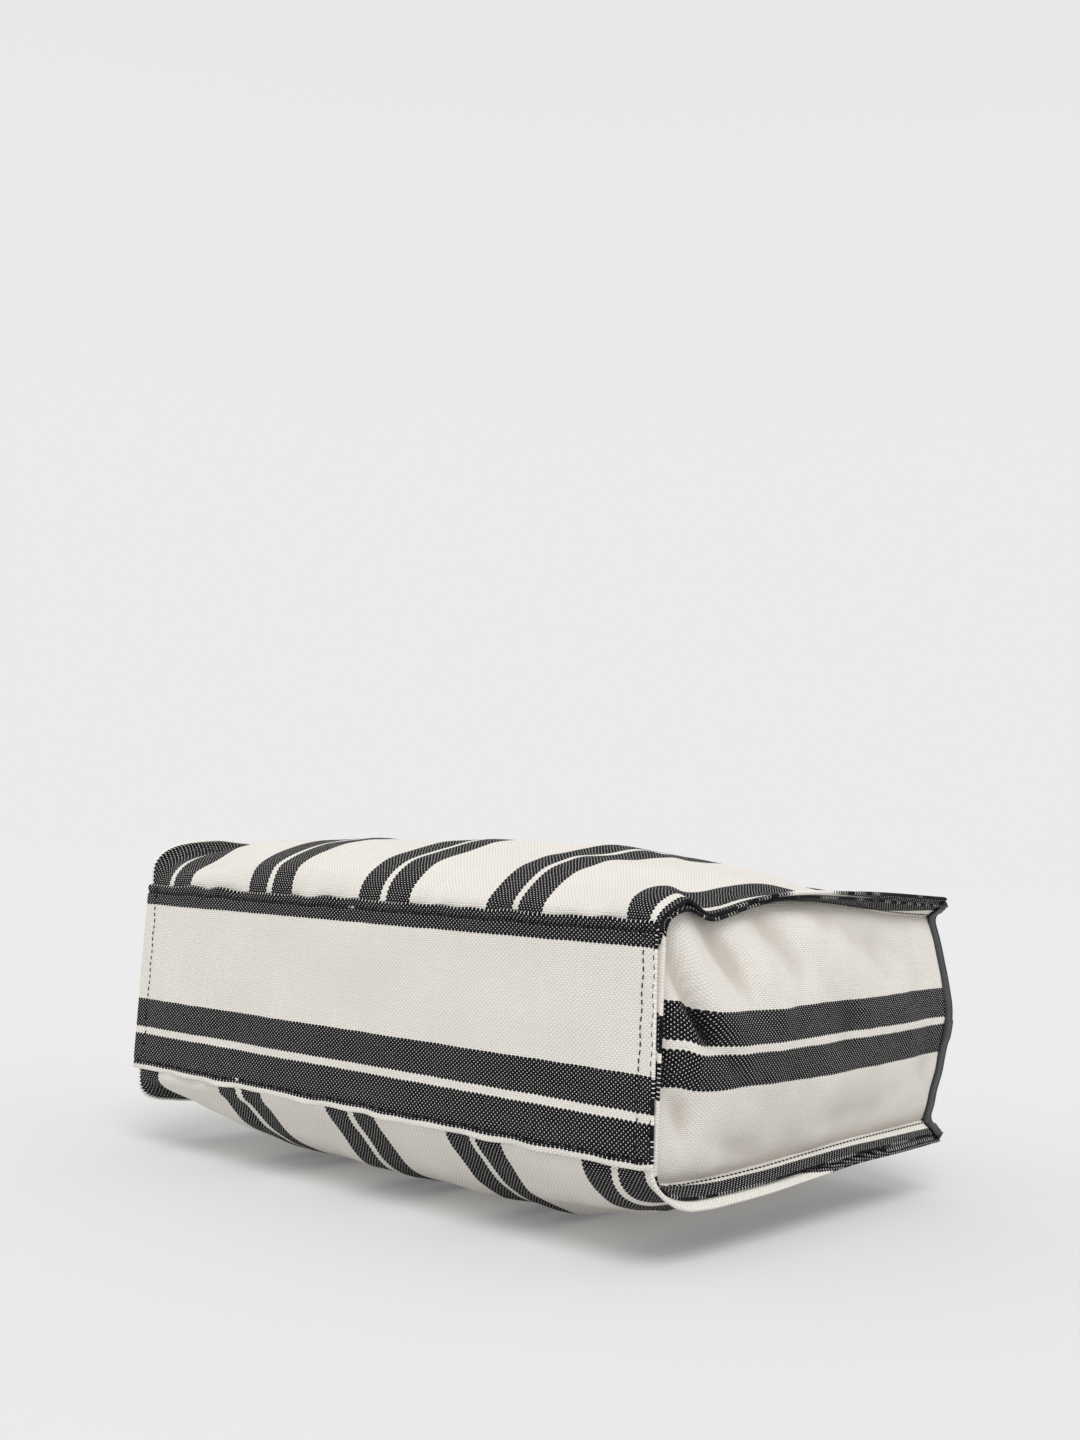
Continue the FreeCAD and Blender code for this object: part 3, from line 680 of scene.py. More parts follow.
def softened(line, reach=2):
    """The line with each point moved to the mean of its neighbours, its ends kept."""
    padded = np.concatenate([line[:1].repeat(reach, 0), line, line[-1:].repeat(reach, 0)])
    return sum(padded[k : k + len(line)] for k in range(2 * reach + 1)) / (2 * reach + 1)


def under_flange(face, side, x, y, gap_shade):
    """Height of a line on the inner side of a flange: the panel's height at x less the gap, which
    is measured square to the flange's slope."""
    level = height_along(face, side * ROOT_X, y)
    slope = (height_along(face, side * PANEL_HALF, y) - level) / (PANEL_HALF - ROOT_X)
    return height_along(face, side * x, y) - gap_shade * np.sqrt(1 + slope**2)


def seam_lines(side):
    """Root and edge of a lip as lines of points, from the mouth along the back panel, up behind
    the base panel, and along the front panel back to the mouth."""
    y = np.r_[np.linspace(MOUTH_Y, -140, 100), np.linspace(-142, -151.5, 7)]
    rise = np.linspace(0, 1, 44)[1:-1]

    def ring(x_long, x_base, y_base, x_line, gap_shade):
        """The line at x_long along both panels, with its heights read at x_line less the gap, and
        straight up between them behind the base panel, at x_base and y_base."""
        low = under_flange(back_face, side, x_line, y, -gap_shade)
        high = under_flange(front_face, side, x_line, y, gap_shade)
        z_base = low[-1] + (high[-1] - low[-1]) * rise
        return np.concatenate(
            [
                np.column_stack([side * x_long + 0 * y, y, low]),
                np.column_stack([side * x_base + 0 * rise, y_base + 0 * rise, z_base]),
                np.column_stack([side * x_long + 0 * y, y, high])[::-1],
            ]
        )

    root = ring(ROOT_X, ROOT_X, -153.0, ROOT_X, SEAM_GAP)
    edge = ring(208.2, 210.4, -153.5, PANEL_HALF, FOLDED + LIP + 0.2)
    return softened(root), softened(softened(edge))


STRIPE_Y = [-152, -142, -135, -129, -122, -110, -80, -14, 60, 146]
STRIPE_TOP = [133.0, 132.6, 131.9, 128.7, 127.6, 127.0, 126.6, 127.7, 129.3, 131.4]
STRIPE_LOW = [89.6, 89.4, 89.0, 87.7, 87.2, 87.0, 87.3, 86.9, 88.3, 90.6]


def gusset_stripes(y, w):
    """Place across the stripes of a point at height w on the cloth.  The stripe pair runs between
    two slightly bowed lines, and beyond it the cloth is measured out to the next bands."""
    y = y + 0 * w
    top = smooth_through(y, STRIPE_Y, STRIPE_TOP)
    low = smooth_through(y, STRIPE_Y, STRIPE_LOW)
    next_top = under_flange(front_face, 1, ROOT_X, y, SEAM_GAP)
    next_top = next_top + 6.5 * share((y - 65) / 80)
    next_low = under_flange(back_face, 1, ROOT_X, y, -SEAM_GAP)
    next_low = next_low - np.interp(y, [-150, -95, 0, 158], [0.6, 3.8, 4.4, 6.5])
    place = np.where(
        w > top,
        PAIR_HALF + (w - top) * BETWEEN_PAIRS / (next_top - top),
        np.where(
            w < low,
            -PAIR_HALF - (low - w) * BETWEEN_PAIRS / (low - next_low),
            -PAIR_HALF + 2 * PAIR_HALF * (w - low) / (top - low),
        ),
    )
    return np.clip(place, -97.5, 97.5)


def ridge(y, z, start, end, width, depth):
    """A straight fold between two places (y, z): a bell across it, fading at its ends."""
    (y0, z0), (y1, z1) = start, end
    run = math.hypot(y1 - y0, z1 - z0)
    along = ((y - y0) * (y1 - y0) + (z - z0) * (z1 - z0)) / run
    off = ((y - y0) * (z1 - z0) - (z - z0) * (y1 - y0)) / run
    fade = 1 / (1 + np.exp(-(along / 9))) / (1 + np.exp((along - run) / 9))
    return depth * bell(off, width) * fade


def gusset_parts(side, bulge, folds, seed):
    """Flat and lip of one gusset.  The flat is lofted between the two long seam lines and pushed
    out by the bulge at its place along the bag, times a power of a sine across it, plus folds."""
    root, edge = seam_lines(side)
    long = 107
    low, high = root[:long][::-1], root[-long:]
    t = np.linspace(0, 1, 62)
    y = low[:, 1:2] + 0 * t
    z = low[:, 2:] * (1 - t) + high[:, 2:] * t
    puff = smooth_through(low[:, 1], *np.array(bulge, float).T)[:, None]
    held = np.sin(np.pi * t) ** 0.8
    inside = np.minimum(held * 2, 1) * share((y + 151.5) / 20)
    x = ROOT_X + puff * held
    x = x + inside * sum(ridge(y, z, *fold) for fold in folds)
    x = x + inside * (ripple(y, z, seed, 70) * 1.0 + ripple(y, z, seed + 1, 26) * 0.22)
    face = np.stack([side * x, y, z], -1)
    uv = np.stack([gusset_stripes(y, z) + (3 + side) * CUT, y], -1)
    flat = sheet_arrays(face, uv, CANVAS, side)

    r = np.linspace(0, 1, 7)[None, :, None]
    lip = root[:, None] + (edge - root)[:, None] * r
    length = np.linalg.norm(edge - root, axis=1)[:, None] * r[..., 0]
    sign = np.repeat([-1.0, 0.0, 1.0], [long, len(root) - 2 * long, long])
    sign = softened(sign[:, None], 3)
    w = root[:, 2:] + sign * length + 2.5 * (1 - np.abs(sign)) * r[..., 0]
    v = root[:, 1:2] - (1 - np.abs(sign)) * length
    lip_uv = np.stack([gusset_stripes(root[:, 1:2], w) + (3 + side) * CUT, v], -1)
    thick = np.broadcast_to(1.2 + (LIP - 1.2) * np.minimum(r[..., 0] * 3, 1), lip.shape[:2])
    return [flat, sheet_arrays(lip, lip_uv, thick, side)], edge, face, lip


right_parts, right_edge, right_face, right_lip = gusset_parts(
    1,
    [(-152.4, 0), (-143, 8), (-131, 15.5), (-115, 20), (-90, 21.5), (-40, 20), (13, 18.5),
     (96, 15), (158, 12.5)],
    [
        ((-146, 172), (-139, 146), 4.0, -5.0),
        ((-140, 148), (-122, 114), 5.0, -9.0),
        ((-126, 122), (-100, 98), 6.0, -6.0),
        ((-134, 168), (-120, 130), 5.0, 3.2),
        ((-116, 146), (-98, 116), 12.0, 2.5),
        ((-114, 176), (-86, 140), 12.0, -5.5),
        ((-92, 166), (-58, 126), 12.0, 3.5),
        ((-70, 178), (-26, 146), 14.0, -5.5),
        ((-20, 172), (30, 140), 14.0, 3.0),
        ((30, 170), (80, 150), 16.0, -3.5),
        ((-144, 90), (-120, 58), 8.0, -6.0),
        ((-126, 66), (-98, 44), 7.0, 4.0),
        ((-108, 58), (-50, 48), 9.0, -4.0),
        ((70, 120), (130, 105), 14.0, 2.2),
        ((0, 60), (80, 66), 12.0, -3.0),
    ],
    31,
)
right_gusset = make_piece("right_gusset_cloth", right_parts, striped_canvas)
# Painted shade in the right gusset's dents and folds.
set_painted_shade(right_gusset, painted_hollow_shade(right_face[..., 0], 60))
left_parts, left_edge, left_face, left_lip = gusset_parts(
    -1,
    [(-152.4, 0), (-140, 6), (-120, 11), (-90, 13), (-40, 12), (40, 9), (110, 6), (158, 5)],
    [((-140, 160), (-100, 110), 8.0, -2.5), ((-60, 60), (20, 50), 14.0, -1.5)],
    41,
)
left_gusset = make_piece("left_gusset_cloth", left_parts, striped_canvas)
# Painted shade in the left gusset's dents and folds.
set_painted_shade(left_gusset, painted_hollow_shade(-left_face[..., 0], 60))
for gusset, node in ((right_gusset, "right_gusset"), (left_gusset, "left_gusset")):
    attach(gusset, "bag")
    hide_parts(node)

# --------------------
# Mouth binding: smooth black leather tape folded over the raw edge all round the mouth.  It goes
# over the flanges' ends too, and its own ends are lapped half way up the right gusset.

TAPE_WIDE = 9.0
TAPE_THICK = 1.2
LAP_MIDDLE, LAP_HALF = 104, 7


def tube_arrays(rings, uv):
    """A closed tube through rings of points, each end drawn together to a point in its middle."""
    n, k = rings.shape[:2]
    points = np.concatenate([rings.reshape(-1, 3), rings[[0, -1]].mean(1)])
    index = np.arange(n * k).reshape(n, k)
    after = np.roll(index, -1, axis=1)
    quads = np.stack([index[:-1], after[:-1], after[1:], index[1:]], -1).reshape(-1, 4)
    first = np.stack([index[0], np.full(k, n * k), after[0]], -1)
    last = np.stack([index[-1], after[-1], np.full(k, n * k + 1)], -1)
    uvs = np.concatenate([uv.reshape(-1, 2), uv[[0, -1]].mean(1)])
    return points, [quads, first, last], uvs


def turned_out(part):
    """The same closed part with its faces pointing outward: turned round if its volume, a sum over
    its triangles of triple products, is negative."""
    points, groups, uvs = part
    volume = sum(
        np.sum(points[g[:, 0]] * np.cross(points[g[:, k]], points[g[:, k + 1]]))
        for g in groups
        for k in range(1, g.shape[1] - 1)
    )
    return points, [g[:, ::-1] for g in groups] if volume < 0 else groups, uvs


def folded_tape(path, half, prouder=0.0):
    """Rings of a tape folded over an edge.  Across its section, the outer line runs up one leg,
    over the fold as half an ellipse and down the other leg, and the inner line runs back."""
    ahead = unit(np.gradient(path, axis=0))
    out = np.broadcast_to([0.0, 1.0, 0.0], path.shape)
    out = unit(out - ahead * np.sum(out * ahead, axis=1, keepdims=True))
    through = np.cross(ahead, out)
    half = np.broadcast_to(half, len(path))[:, None]
    prouder = np.broadcast_to(prouder, len(path))[:, None]
    leg = np.linspace(-TAPE_WIDE, 0, 6)
    pillow = TAPE_THICK * (0.72 + 0.35 * np.sin(np.pi * share((leg + TAPE_WIDE) / 7)))
    turn = np.radians([22, 50, 78, 102, 130, 158])
    depth = np.r_[leg, 1.5 * np.sin(turn), leg[::-1]]
    outer_h = np.r_[pillow, TAPE_THICK * np.cos(turn), -pillow[::-1]]
    sign = np.r_[np.ones(6), np.cos(turn), -np.ones(6)]
    outer = outer_h + prouder * sign + half * sign
    inner_depth = np.r_[-TAPE_WIDE, -4, 0, 0.3, 0.3, 0, -4, -TAPE_WIDE]
    inner_sign = np.array([-1, -1, -1, -0.6, 0.6, 1, 1, 1])
    inner = (half - 0.02) * inner_sign
    d = np.broadcast_to(np.r_[depth, inner_depth], (len(path), len(depth) + 8))
    d = d - prouder * (d < -TAPE_WIDE + 0.5)
    h = np.concatenate([outer, inner], 1)
    rings = path[:, None] + out[:, None] * d[..., None] + through[:, None] * h[..., None]
    run = run_of(path)
    around = np.r_[0, np.cumsum(np.hypot(np.diff(d[0]), np.diff(h[0])))]
    uv = np.stack(np.broadcast_arrays(around[None, :], run[:, None]), -1)
    return turned_out(tube_arrays(rings, uv))


def leather_material(name, colour, worn, roughness, grain):
    """Smooth dark leather: fine pebbled grain from cells, slow changes of gloss, worn patches."""
    material, face, place = new_material(name, roughness, 0.5)
    cells = place.node(
        "ShaderNodeTexVoronoi", {"Vector": place, "Scale": grain}, feature="DISTANCE_TO_EDGE"
    )
    fine = place.noise(900.0, 4.0)
    broad = place.noise(45.0, 3.0)
    plug(((broad - 0.42) * 1.6 + (fine - 0.5) * 0.5).blend(colour, worn), face, "Base Color")
    plug((broad - 0.5) * 0.25 + (fine - 0.5) * 0.12 + roughness, face, "Roughness")
    emboss(cells.ramp(0.0, 0.25) + fine * 0.5 + broad * 1.2, face, 0.35, 0.0003)
    return material


tape_leather = leather_material(
    "tape_leather", (0.013, 0.014, 0.016, 1), (0.028, 0.029, 0.033, 1), 0.42, 1500.0
)


def mouth_edge(face, inward):
    """Middle of a panel's raw edge across the mouth, and half the thickness of the cloth there,
    which is the panel's and the lip's together over a flange."""
    line = face[:, -1].copy()
    flange = share((np.abs(line[:, 0]) - TURNED_FROM) / 3)
    half = (CANVAS + (FOLDED + LIP - CANVAS) * flange) / 2
    slope = np.gradient(line[:, 2], line[:, 0])
    line[:, 2] += inward * half * np.sqrt(1 + slope**2)
    line[[0, -1], 0] = [-209.6, 209.6]
    return line, half


def side_edge(side, face, edge):
    """Middle of a gusset's raw edge, down the upper lip's end, the side and the lower lip's end,
    and half the thickness of the cloth there."""
    line = face[-1, ::-1].copy()
    line[:, 0] -= side * CANVAS / 2
    t = np.linspace(0, 1, 6)[:-1, None]
    tip_high = edge[-1] + [0.8 * side, 0, 1.2]
    tip_low = edge[0] + [0.8 * side, 0, -1.2]
    down = tip_high + (line[0] + [0, 0, 0.6] - tip_high) * t
    out = line[-1] + [0, 0, -0.6] + (tip_low - line[-1] - [0, 0, -0.6]) * (t + 0.2)
    path = softened(np.concatenate([down, line[1:-1], out]), 1)
    path[:, 1] = MOUTH_Y
    lip = share((np.abs(path[:, 0]) - 203) / 3) * (np.abs(path[:, 2] - 110) > 55)
    return path, CANVAS / 2 + (LIP - CANVAS) / 2 * lip


tapes = []
for face, inward in ((front_face, -1), (back_face, 1)):
    path, half = mouth_edge(face, inward)
    tapes.append(folded_tape(path, half))
for side, face, edge in ((1, right_face, right_edge), (-1, left_face, left_edge)):
    path, half = side_edge(side, face, edge)
    lapped = share((LAP_HALF - np.abs(path[:, 2] - LAP_MIDDLE)) / 0.8) * 0.7
    tapes.append(folded_tape(path, half, lapped * (side > 0)))
binding = make_piece("mouth_binding_tape", tapes, tape_leather)
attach(binding, "bag")
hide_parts("mouth_binding")

# --------------------
# Seams: black waxed thread.  One row follows each lap of the base panel, one crosses each of its
# ends, and one runs through both layers of every flange, so that it shows on both faces.

THREAD = 0.42
PITCH = 4.0


def thread_material():
    """Black thread, a little lighter where it is rubbed, with the fine waves of its twist."""
    material, face, place = new_material("black_thread", 0.6, 0.3)
    rubbed = place.noise(700.0, 2.0)
    shade = rubbed * 1.6 - 0.5
    plug(shade.blend((0.006, 0.006, 0.007, 1), (0.035, 0.034, 0.036, 1)), face, "Base Color")
    twist = place.node("ShaderNodeTexWave", {"Vector": place, "Scale": 500.0, "Distortion": 2.0})
    emboss(twist, face, 0.4, 0.0002)
    return material


def on_grid(face, side, i, j):
    """Points and outward normals of a surface at places counted in grid steps, each the mean of
    the four nearest grid points, weighted by nearness."""
    i, j = np.broadcast_arrays(np.asarray(i, float), np.asarray(j, float))
    i0 = np.clip(np.floor(i).astype(int), 0, face.shape[0] - 2)
    j0 = np.clip(np.floor(j).astype(int), 0, face.shape[1] - 2)
    a, b = (i - i0)[:, None], (j - j0)[:, None]
    out = []
    for grid in (face, normals_of(face, side)):
        out.append(
            grid[i0, j0] * (1 - a) * (1 - b)
            + grid[i0 + 1, j0] * a * (1 - b)
            + grid[i0, j0 + 1] * (1 - a) * b
            + grid[i0 + 1, j0 + 1] * a * b
        )
    return out[0], unit(out[1])


def stitch_row(path, normal, pitch=PITCH, length=2.8, radius=THREAD):
    """A row of stitches.  Each is a capsule of five hexagons along the path, its middle proud of
    the cloth by part of its radius and its two ends sunk in."""
    run = run_of(path)
    count = max(int(run[-1] / pitch), 1)
    middle = (np.arange(count) + 0.5) * run[-1] / count
    at = middle[:, None] + np.array([-1, -0.75, 0, 0.75, 1]) * length / 2
    centre = read_at(run, at, path)
    up = unit(read_at(run, at, normal))
    ahead = unit(np.gradient(centre, axis=1))
    across = unit(np.cross(up, ahead))
    lift = radius * np.array([-0.7, 0.15, 0.5, 0.15, -0.7])[:, None]
    size = radius * np.array([0.45, 0.9, 1.0, 0.9, 0.45])[:, None, None]
    turn = (np.arange(6) * math.pi / 3)[:, None]
    around = across[:, :, None] * np.cos(turn) + up[:, :, None] * np.sin(turn)
    rings = (centre + up * lift)[:, :, None] + around * size
    index = np.arange(count * 30).reshape(count, 5, 6)
    after = np.roll(index, -1, axis=2)
    quads = np.stack([index[:, :-1], after[:, :-1], after[:, 1:], index[:, 1:]], -1).reshape(-1, 4)
    ends = np.concatenate([index[:, 0, ::-1], index[:, -1]])
    points = rings.reshape(-1, 3)
    return points, [quads, ends], points[:, :2]


def grid_row(face, side, i, j, **wanted):
    """A row of stitches along a surface, over places (i, j) counted in grid steps."""
    return stitch_row(*on_grid(face, side, i, j), **wanted)


black_thread = thread_material()
rows = []
# Base panel: its two laps, a row across each end, and the fine row along its right edge.
x_steps = np.arange(len(base_x))
z_count = np.arange(len(base_z))
for level in (high - LAP_SEAM, low + LAP_SEAM):
    rows.append(grid_row(base_face, 1, x_steps[2:-2], np.interp(level, base_z, z_count)))
z_steps = np.interp(np.linspace(low + 1, high - 1, 70), base_z, z_count)
for top_x, low_x, radius, pitch in (
    (202.0, 199.0, THREAD, PITCH),
    (-201.0, -200.0, THREAD, PITCH),
    (208.3, 207.6, 0.26, 4.6),
):
    x = np.linspace(low_x, top_x, 70) + 0.35 * np.sin(np.arange(70) * 0.6)
    i = np.interp(x, base_x, x_steps)
    rows.append(grid_row(base_face, 1, i, z_steps, radius=radius, pitch=pitch))
# Flanges: the row on the panels' outer faces and the row on the lips.
y_steps = np.linspace(16, ROWS - 5, 160)
for x in (202.3, -202.3):
    i = np.interp(x, panel_x, np.arange(len(panel_x)))
    rows.append(grid_row(front_face, 1, i, y_steps))
    rows.append(grid_row(back_face, -1, i, y_steps))
for side, lip in ((1, right_lip), (-1, left_lip)):
    count = len(lip)
    for start, end in ((3, 96), (count - 97, count - 4)):
        i = np.linspace(start, end, 140)
        rows.append(grid_row(lip, side, i, 1.2, radius=0.46, length=3.0))
seams = make_piece("seam_stitches", rows, black_thread)
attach(seams, "bag")

# --------------------
# Handles: one leather strap each.  Its flat ends are sewn to the outside of the panel as tabs, it
# bends at the mouth, and its middle is rolled round a cotton rope with the seam on the inside.

HANDLE_X = 75.0
STRAP_WIDE = 24.0
STRAP_THICK = 2.0
ROLL = 5.5
ROLL_FROM = 13
DROP = 125.0
BACK_TILT = math.radians(9.16)
TAB_POINTS = 44
BOX_HALF = 9.6
strap_leather = leather_material(
    "strap_leather", (0.016, 0.016, 0.018, 1), (0.040, 0.039, 0.041, 1), 0.40, 1100.0
)


def handle_path(face, up, hinge, away):
    """Middle line of a handle and its face's normals.  Each tab follows the panel, rises over the
    mouth tape and bends at the hinge; each leg runs straight on; half a circle joins the legs."""
    lines = []
    y = np.linspace(105, 157, 20)
    step_over = 1.4 * share((y - 143) / 6)
    for side in (1, -1):
        z = height_along(face, side * HANDLE_X, y) + up * (STRAP_THICK / 2 + 0.3 + step_over)
        z = z + up * 0.3 * ripple(y, y * 0, 60 + side, 22)
        bend = [(162, hinge[1] + up * 0.8), (166, hinge[1] - up * 0.1)]
        free = [hinge + away * d for d in (4.0, 8.0, 15.0, 22.0)]
        knots = np.concatenate([np.column_stack([y, z]), bend, free])
        tab = evenly(knots, TAB_POINTS)
        lines.append(np.insert(tab, 0, side * HANDLE_X, axis=1))
    d = np.linspace(24, DROP - HANDLE_X, 12)
    turn = np.linspace(0, math.pi, 82)[1:-1]
    bow_x = np.r_[np.full(12, HANDLE_X), HANDLE_X * np.cos(turn), np.full(12, -HANDLE_X)]
    bow_d = np.r_[d, d[-1] + HANDLE_X * np.sin(turn), d[::-1]]
    bow = np.column_stack([bow_x, hinge + away * bow_d[:, None]])
    path = np.concatenate([lines[0], bow, lines[1][::-1]])
    ahead = unit(np.gradient(path, axis=0))
    # The strap's face: square to its run in the tabs' plane, and square to the bow's plane beyond.
    sign = np.where(np.arange(len(path)) < len(path) / 2, 1.0, -1.0)
    tab_normal = np.cross(np.array([1.0, 0, 0]) * sign[:, None], ahead)
    bow_normal = np.array([0, away[1], -away[0]])
    bow_normal = bow_normal * np.sign(np.dot(tab_normal[TAB_POINTS - 4], bow_normal))
    on_bow = np.abs(np.arange(len(path)) - (len(path) - 1) / 2) < (len(bow) / 2 + 2)
    normal = unit(np.where(on_bow[:, None], bow_normal, tab_normal))
    tab_reach = np.linspace(-63, 22, TAB_POINTS)
    return path, normal, ahead, np.r_[tab_reach, bow_d, tab_reach[::-1]]


def strap_rings(path, normal, ahead, reach):
    """Sections along the strap: superellipses whose power, width and thickness go from the flat
    strap's to the round roll's a little way beyond the hinge, with a seam's groove inside."""
    rolled = eased((reach - ROLL_FROM) / 12)[:, None]
    wide = STRAP_WIDE / 2 + (ROLL - STRAP_WIDE / 2) * rolled
    thick = STRAP_THICK / 2 + (ROLL - STRAP_THICK / 2) * rolled
    power = 2 / (6 - 4 * rolled)
    angle = (np.arange(32) * 2 * math.pi / 32)[None, :]
    a = wide * np.sign(np.cos(angle)) * np.abs(np.cos(angle)) ** power
    b = thick * np.sign(np.sin(angle)) * np.abs(np.sin(angle)) ** power
    across = np.cross(normal, ahead)
    across = across * np.sign(np.sum(across * (path.mean(0) - path), axis=1))[:, None]
    groove = 1 - 0.11 * rolled * bell(angle - math.pi * 2 * (angle > math.pi), 0.16)
    rings = path[:, None] + across[:, None] * (a * groove)[..., None]
    rings = rings + normal[:, None] * (b * groove)[..., None]
    run = run_of(path)
    uv = np.stack(np.broadcast_arrays(angle * ROLL, run[:, None]), -1)
    return rings, uv, across


front_away = np.array([0.0, -1.0])
back_away = np.array([math.cos(BACK_TILT), -math.sin(BACK_TILT)])
tab_thread = {"pitch": 3.2, "length": 2.2, "radius": 0.36}
x_axis = np.array([1.0, 0, 0])
for place, face, up, hinge, away in (
    ("front", front_face, 1, np.array([168.0, 190.4]), front_away),
    ("back", back_face, -1, np.array([168.0, 25.6]), back_away),
):
    path, normal, ahead, reach = handle_path(face, up, hinge, away)
    rings, uv, across = strap_rings(path, normal, ahead, reach)
    body = place + "_handle"
    handle = make_piece(
        place + "_handle_leather", [turned_out(tube_arrays(rings, uv))], strap_leather
    )
    free = hinge + away * 8
    (hinge[1] + up) * MM
    free[0] * MM
    free[1] * MM
    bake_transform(handle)
    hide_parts(body, place + "_left_tab", place + "_right_tab")
    # The roll's seam, along its inner side, and the box of stitches that holds each tab.
    bow = reach > 30
    seam = stitch_row(
        path[bow] + across[bow] * (ROLL - 0.75), across[bow], pitch=3.6, length=2.4, radius=0.36
    )
    bow_seam = make_piece(place + "_roll_stitches", [seam], black_thread)
    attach(bow_seam, body)
    boxes = []
    for half in (slice(TAB_POINTS), slice(-TAB_POINTS, None)):
        line, top = path[half], normal[half]
        top = top * np.sign(top[:, 2] * up)[:, None]
        sewn = (line[:, 1] > 107.5) & (line[:, 1] < 143)
        line, top = line[sewn], top[sewn]
        order = np.argsort(line[:, 1])
        line, top = line[order], top[order]
        over = line + top * (STRAP_THICK / 2 - 0.05)
        for offset in (-BOX_HALF, BOX_HALF):
            boxes.append(stitch_row(over + x_axis * offset, top, **tab_thread))
        width = np.linspace(-BOX_HALF, BOX_HALF, 12)[:, None]
        for at in (0, -1):
            boxes.append(stitch_row(over[at] + x_axis * width, top[at] + 0 * width, **tab_thread))
        slope = np.linspace(-BOX_HALF, BOX_HALF, len(over))[:, None]
        for way in (1, -1):
            boxes.append(stitch_row(over + x_axis * slope * way, top, **tab_thread))
    tab_seam = make_piece(place + "_tab_stitches", boxes, black_thread)
    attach(tab_seam, "bag")

# --------------------
# Rope cores: the soft cotton rope inside each rolled handle, wholly hidden by the leather.  They
# keep their own meshes from the CAD and get their finish here.


def rope_material():
    """Twisted cotton: pale strands as slanting waves with fine fibres over them."""
    material, face, place = new_material("cotton_rope", 0.9, 0.2)
    strands = place.node(
        "ShaderNodeTexWave",
        {"Vector": place, "Scale": 90.0, "Distortion": 1.5, "Detail": 2.0},
        bands_direction="DIAGONAL",
    )
    fibres = place.noise(1500.0, 3.0)
    shade = strands * 0.7 + fibres * 0.3
    plug(shade.blend((0.52, 0.47, 0.39, 1), (0.80, 0.76, 0.68, 1)), face, "Base Color")
    emboss(strands + fibres * 0.4, face, 0.7, 0.0008)
    return material


cotton_rope = rope_material()
for name in ("front_handle_core", "back_handle_core"):
    bpy.data.objects[name].material_slots[0].material = cotton_rope

# --------------------
# Patches: small pieces of the strap leather on the inside of the panels, behind the tabs, which
# take the strain of the tabs' stitches.

PATCH_THICK = 1.2


def patch_part(face, up, middle_x):
    """A patch on a panel's inner face: a square grid drawn in at its corners and lifted off the
    cloth.  Gives the part and the box of stitches round it."""
    u, v = np.meshgrid(np.linspace(-1, 1, 21), np.linspace(-1, 1, 29), indexing="ij")
    x = middle_x + 12.0 * u * np.sqrt(1 - 0.10 * v**8)
    y = 128.4 + 19.0 * v * np.sqrt(1 - 0.10 * u**8)
    z = height_along(face, middle_x, y) - up * (CANVAS + PATCH_THICK + 0.35)
    sheet = np.stack([x, y, z], -1)
    flat = np.stack([x, y], -1)
    box = []
    for j in (2.2, 25.8):
        box.append(grid_row(sheet, -up, np.linspace(2.5, 17.5, 12), j, **tab_thread))
    for i in (2.2, 17.8):
        box.append(grid_row(sheet, -up, i, np.linspace(2.5, 25.5, 20), **tab_thread))
    return sheet_arrays(sheet, flat, PATCH_THICK, -up), box


inside_rows = []
for place, face, up in (("front", front_face, 1), ("back", back_face, -1)):
    for end, middle_x in (("left", -HANDLE_X), ("right", HANDLE_X)):
        part, box = patch_part(face, up, middle_x)
        node = place + "_" + end + "_patch"
        patch = make_piece(node + "_leather", [turned_out(part)], strap_leather)
        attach(patch, "bag")
        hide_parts(node)
        inside_rows += box
patch_seams = make_piece("patch_stitches", inside_rows, black_thread)
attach(patch_seams, "bag")

# --------------------
# Inner pocket: a plain canvas patch pocket, sewn along three edges to the inside of the back
# panel.  Its hemmed mouth faces the bag's mouth and stands open a little.

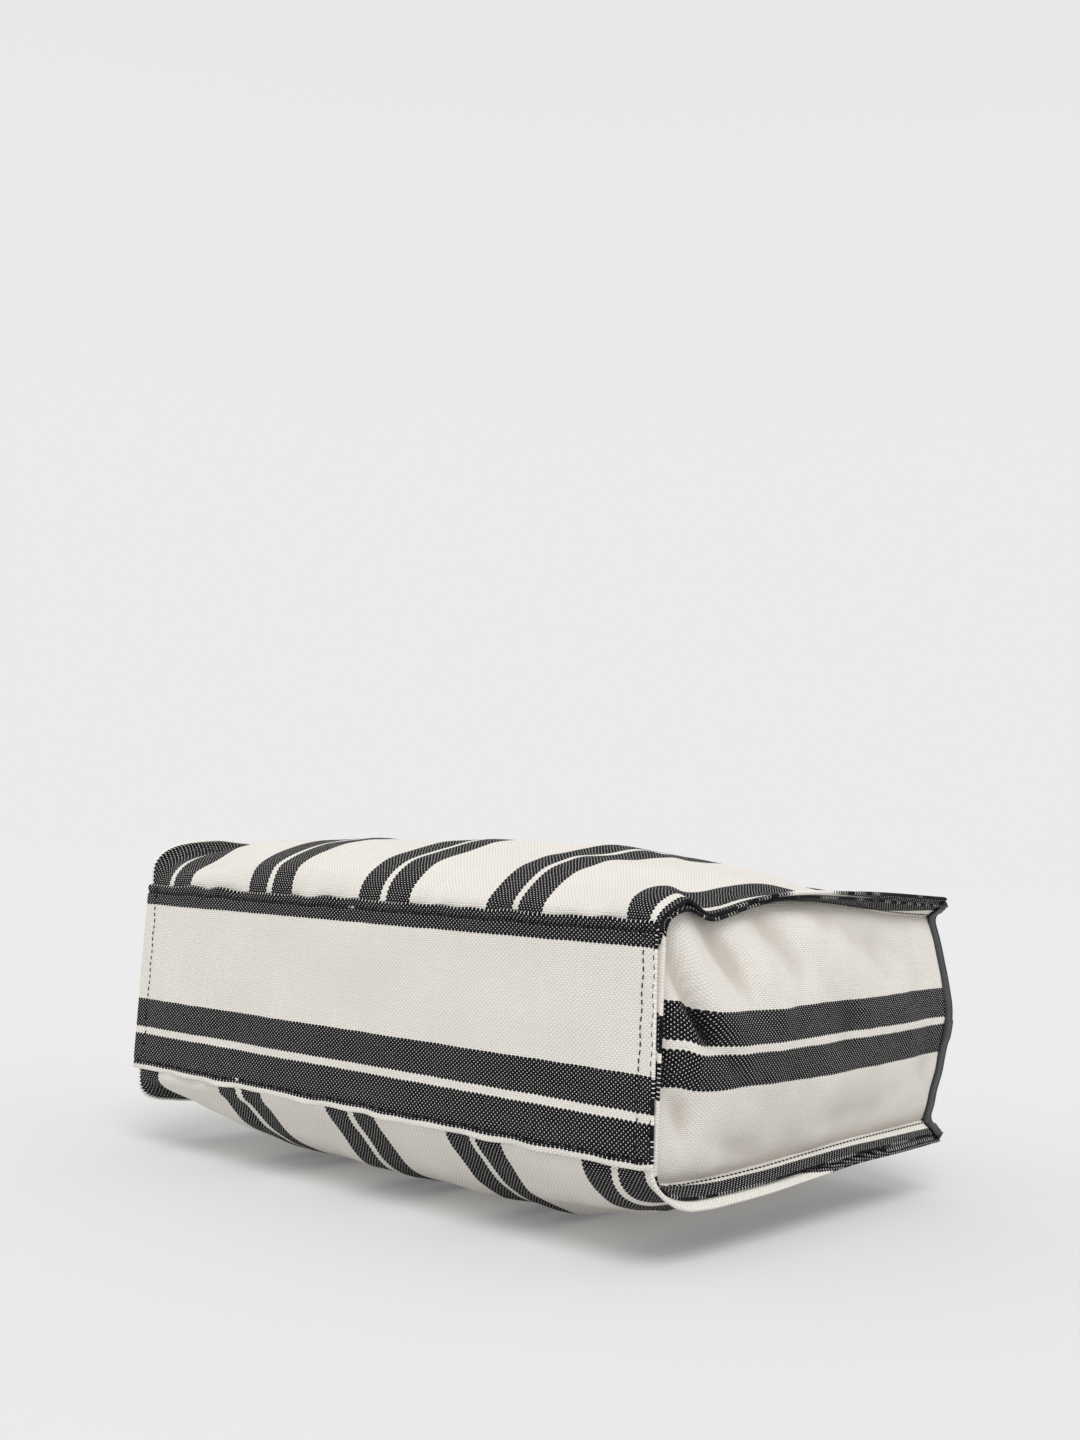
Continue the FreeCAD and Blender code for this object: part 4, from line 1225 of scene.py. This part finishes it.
POCKET_HALF = 84.0
pocket_x = np.linspace(-POCKET_HALF, POCKET_HALF, 57)
pocket_y = np.linspace(-69.0, 69.0, 47)
px, py = np.meshgrid(pocket_x, pocket_y, indexing="ij")
inner_line = [height_along(back_face, x, pocket_y) for x in pocket_x]
free_part = np.cos(px / POCKET_HALF * math.pi / 2)
gape = 3.4 * share((py + 20) / 89) ** 2 * free_part**0.7
side_dip = bell(POCKET_HALF - 3 - np.abs(px), 1.6)
seam_dip = 0.45 * (side_dip + bell(py + 66, 1.6))
hem = share((py - 54) / 1.5)
pz = np.stack(inner_line) + CANVAS + 1.2 + 0.5 + gape - seam_dip + 0.4 * hem
pz = pz + ripple(px, py, 71, 40) * 0.25 * free_part
pocket_face = np.stack([px, py, pz], -1)
pocket_uv = np.stack([px + 5 * CUT, py], -1)
pocket = make_piece(
    "inner_pocket_cloth", [sheet_arrays(pocket_face, pocket_uv, 1.1 + 0.5 * hem, 1)], plain_canvas
)
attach(pocket, "bag")
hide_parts("inner_pocket")
pocket_rows = [grid_row(pocket_face, 1, i, np.linspace(1, 45, 60)) for i in (1, 55)]
pocket_rows += [grid_row(pocket_face, 1, np.linspace(1, 55, 70), j) for j in (1, 42)]
pocket_seams = make_piece("pocket_stitches", pocket_rows, black_thread)
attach(pocket_seams, "bag")

# --------------------
# Base board: the stiff grey-brown fibreboard that lies loose behind the base panel and keeps it
# flat.  It also keeps its own mesh.


def board_material():
    """Pressed fibreboard: short pale and dark fibres over a slow mottle, with a felted face."""
    material, face, place = new_material("fibre_board", 0.85, 0.3)
    stretched = place.node(
        "ShaderNodeVectorMath", {0: place, 1: (1.0, 1.0, 3.0)}, operation="MULTIPLY"
    )
    fibres = stretched.noise(420.0, 5.0, 0.7)
    mottle = place.noise(30.0, 3.0)
    shade = (fibres - 0.5) * 1.6 + (mottle - 0.5) * 0.8 + 0.5
    plug(shade.blend((0.23, 0.185, 0.135, 1), (0.42, 0.355, 0.27, 1)), face, "Base Color")
    emboss(fibres, face, 0.4, 0.0003)
    return material


bpy.data.objects["base_insert"].material_slots[0].material = board_material()
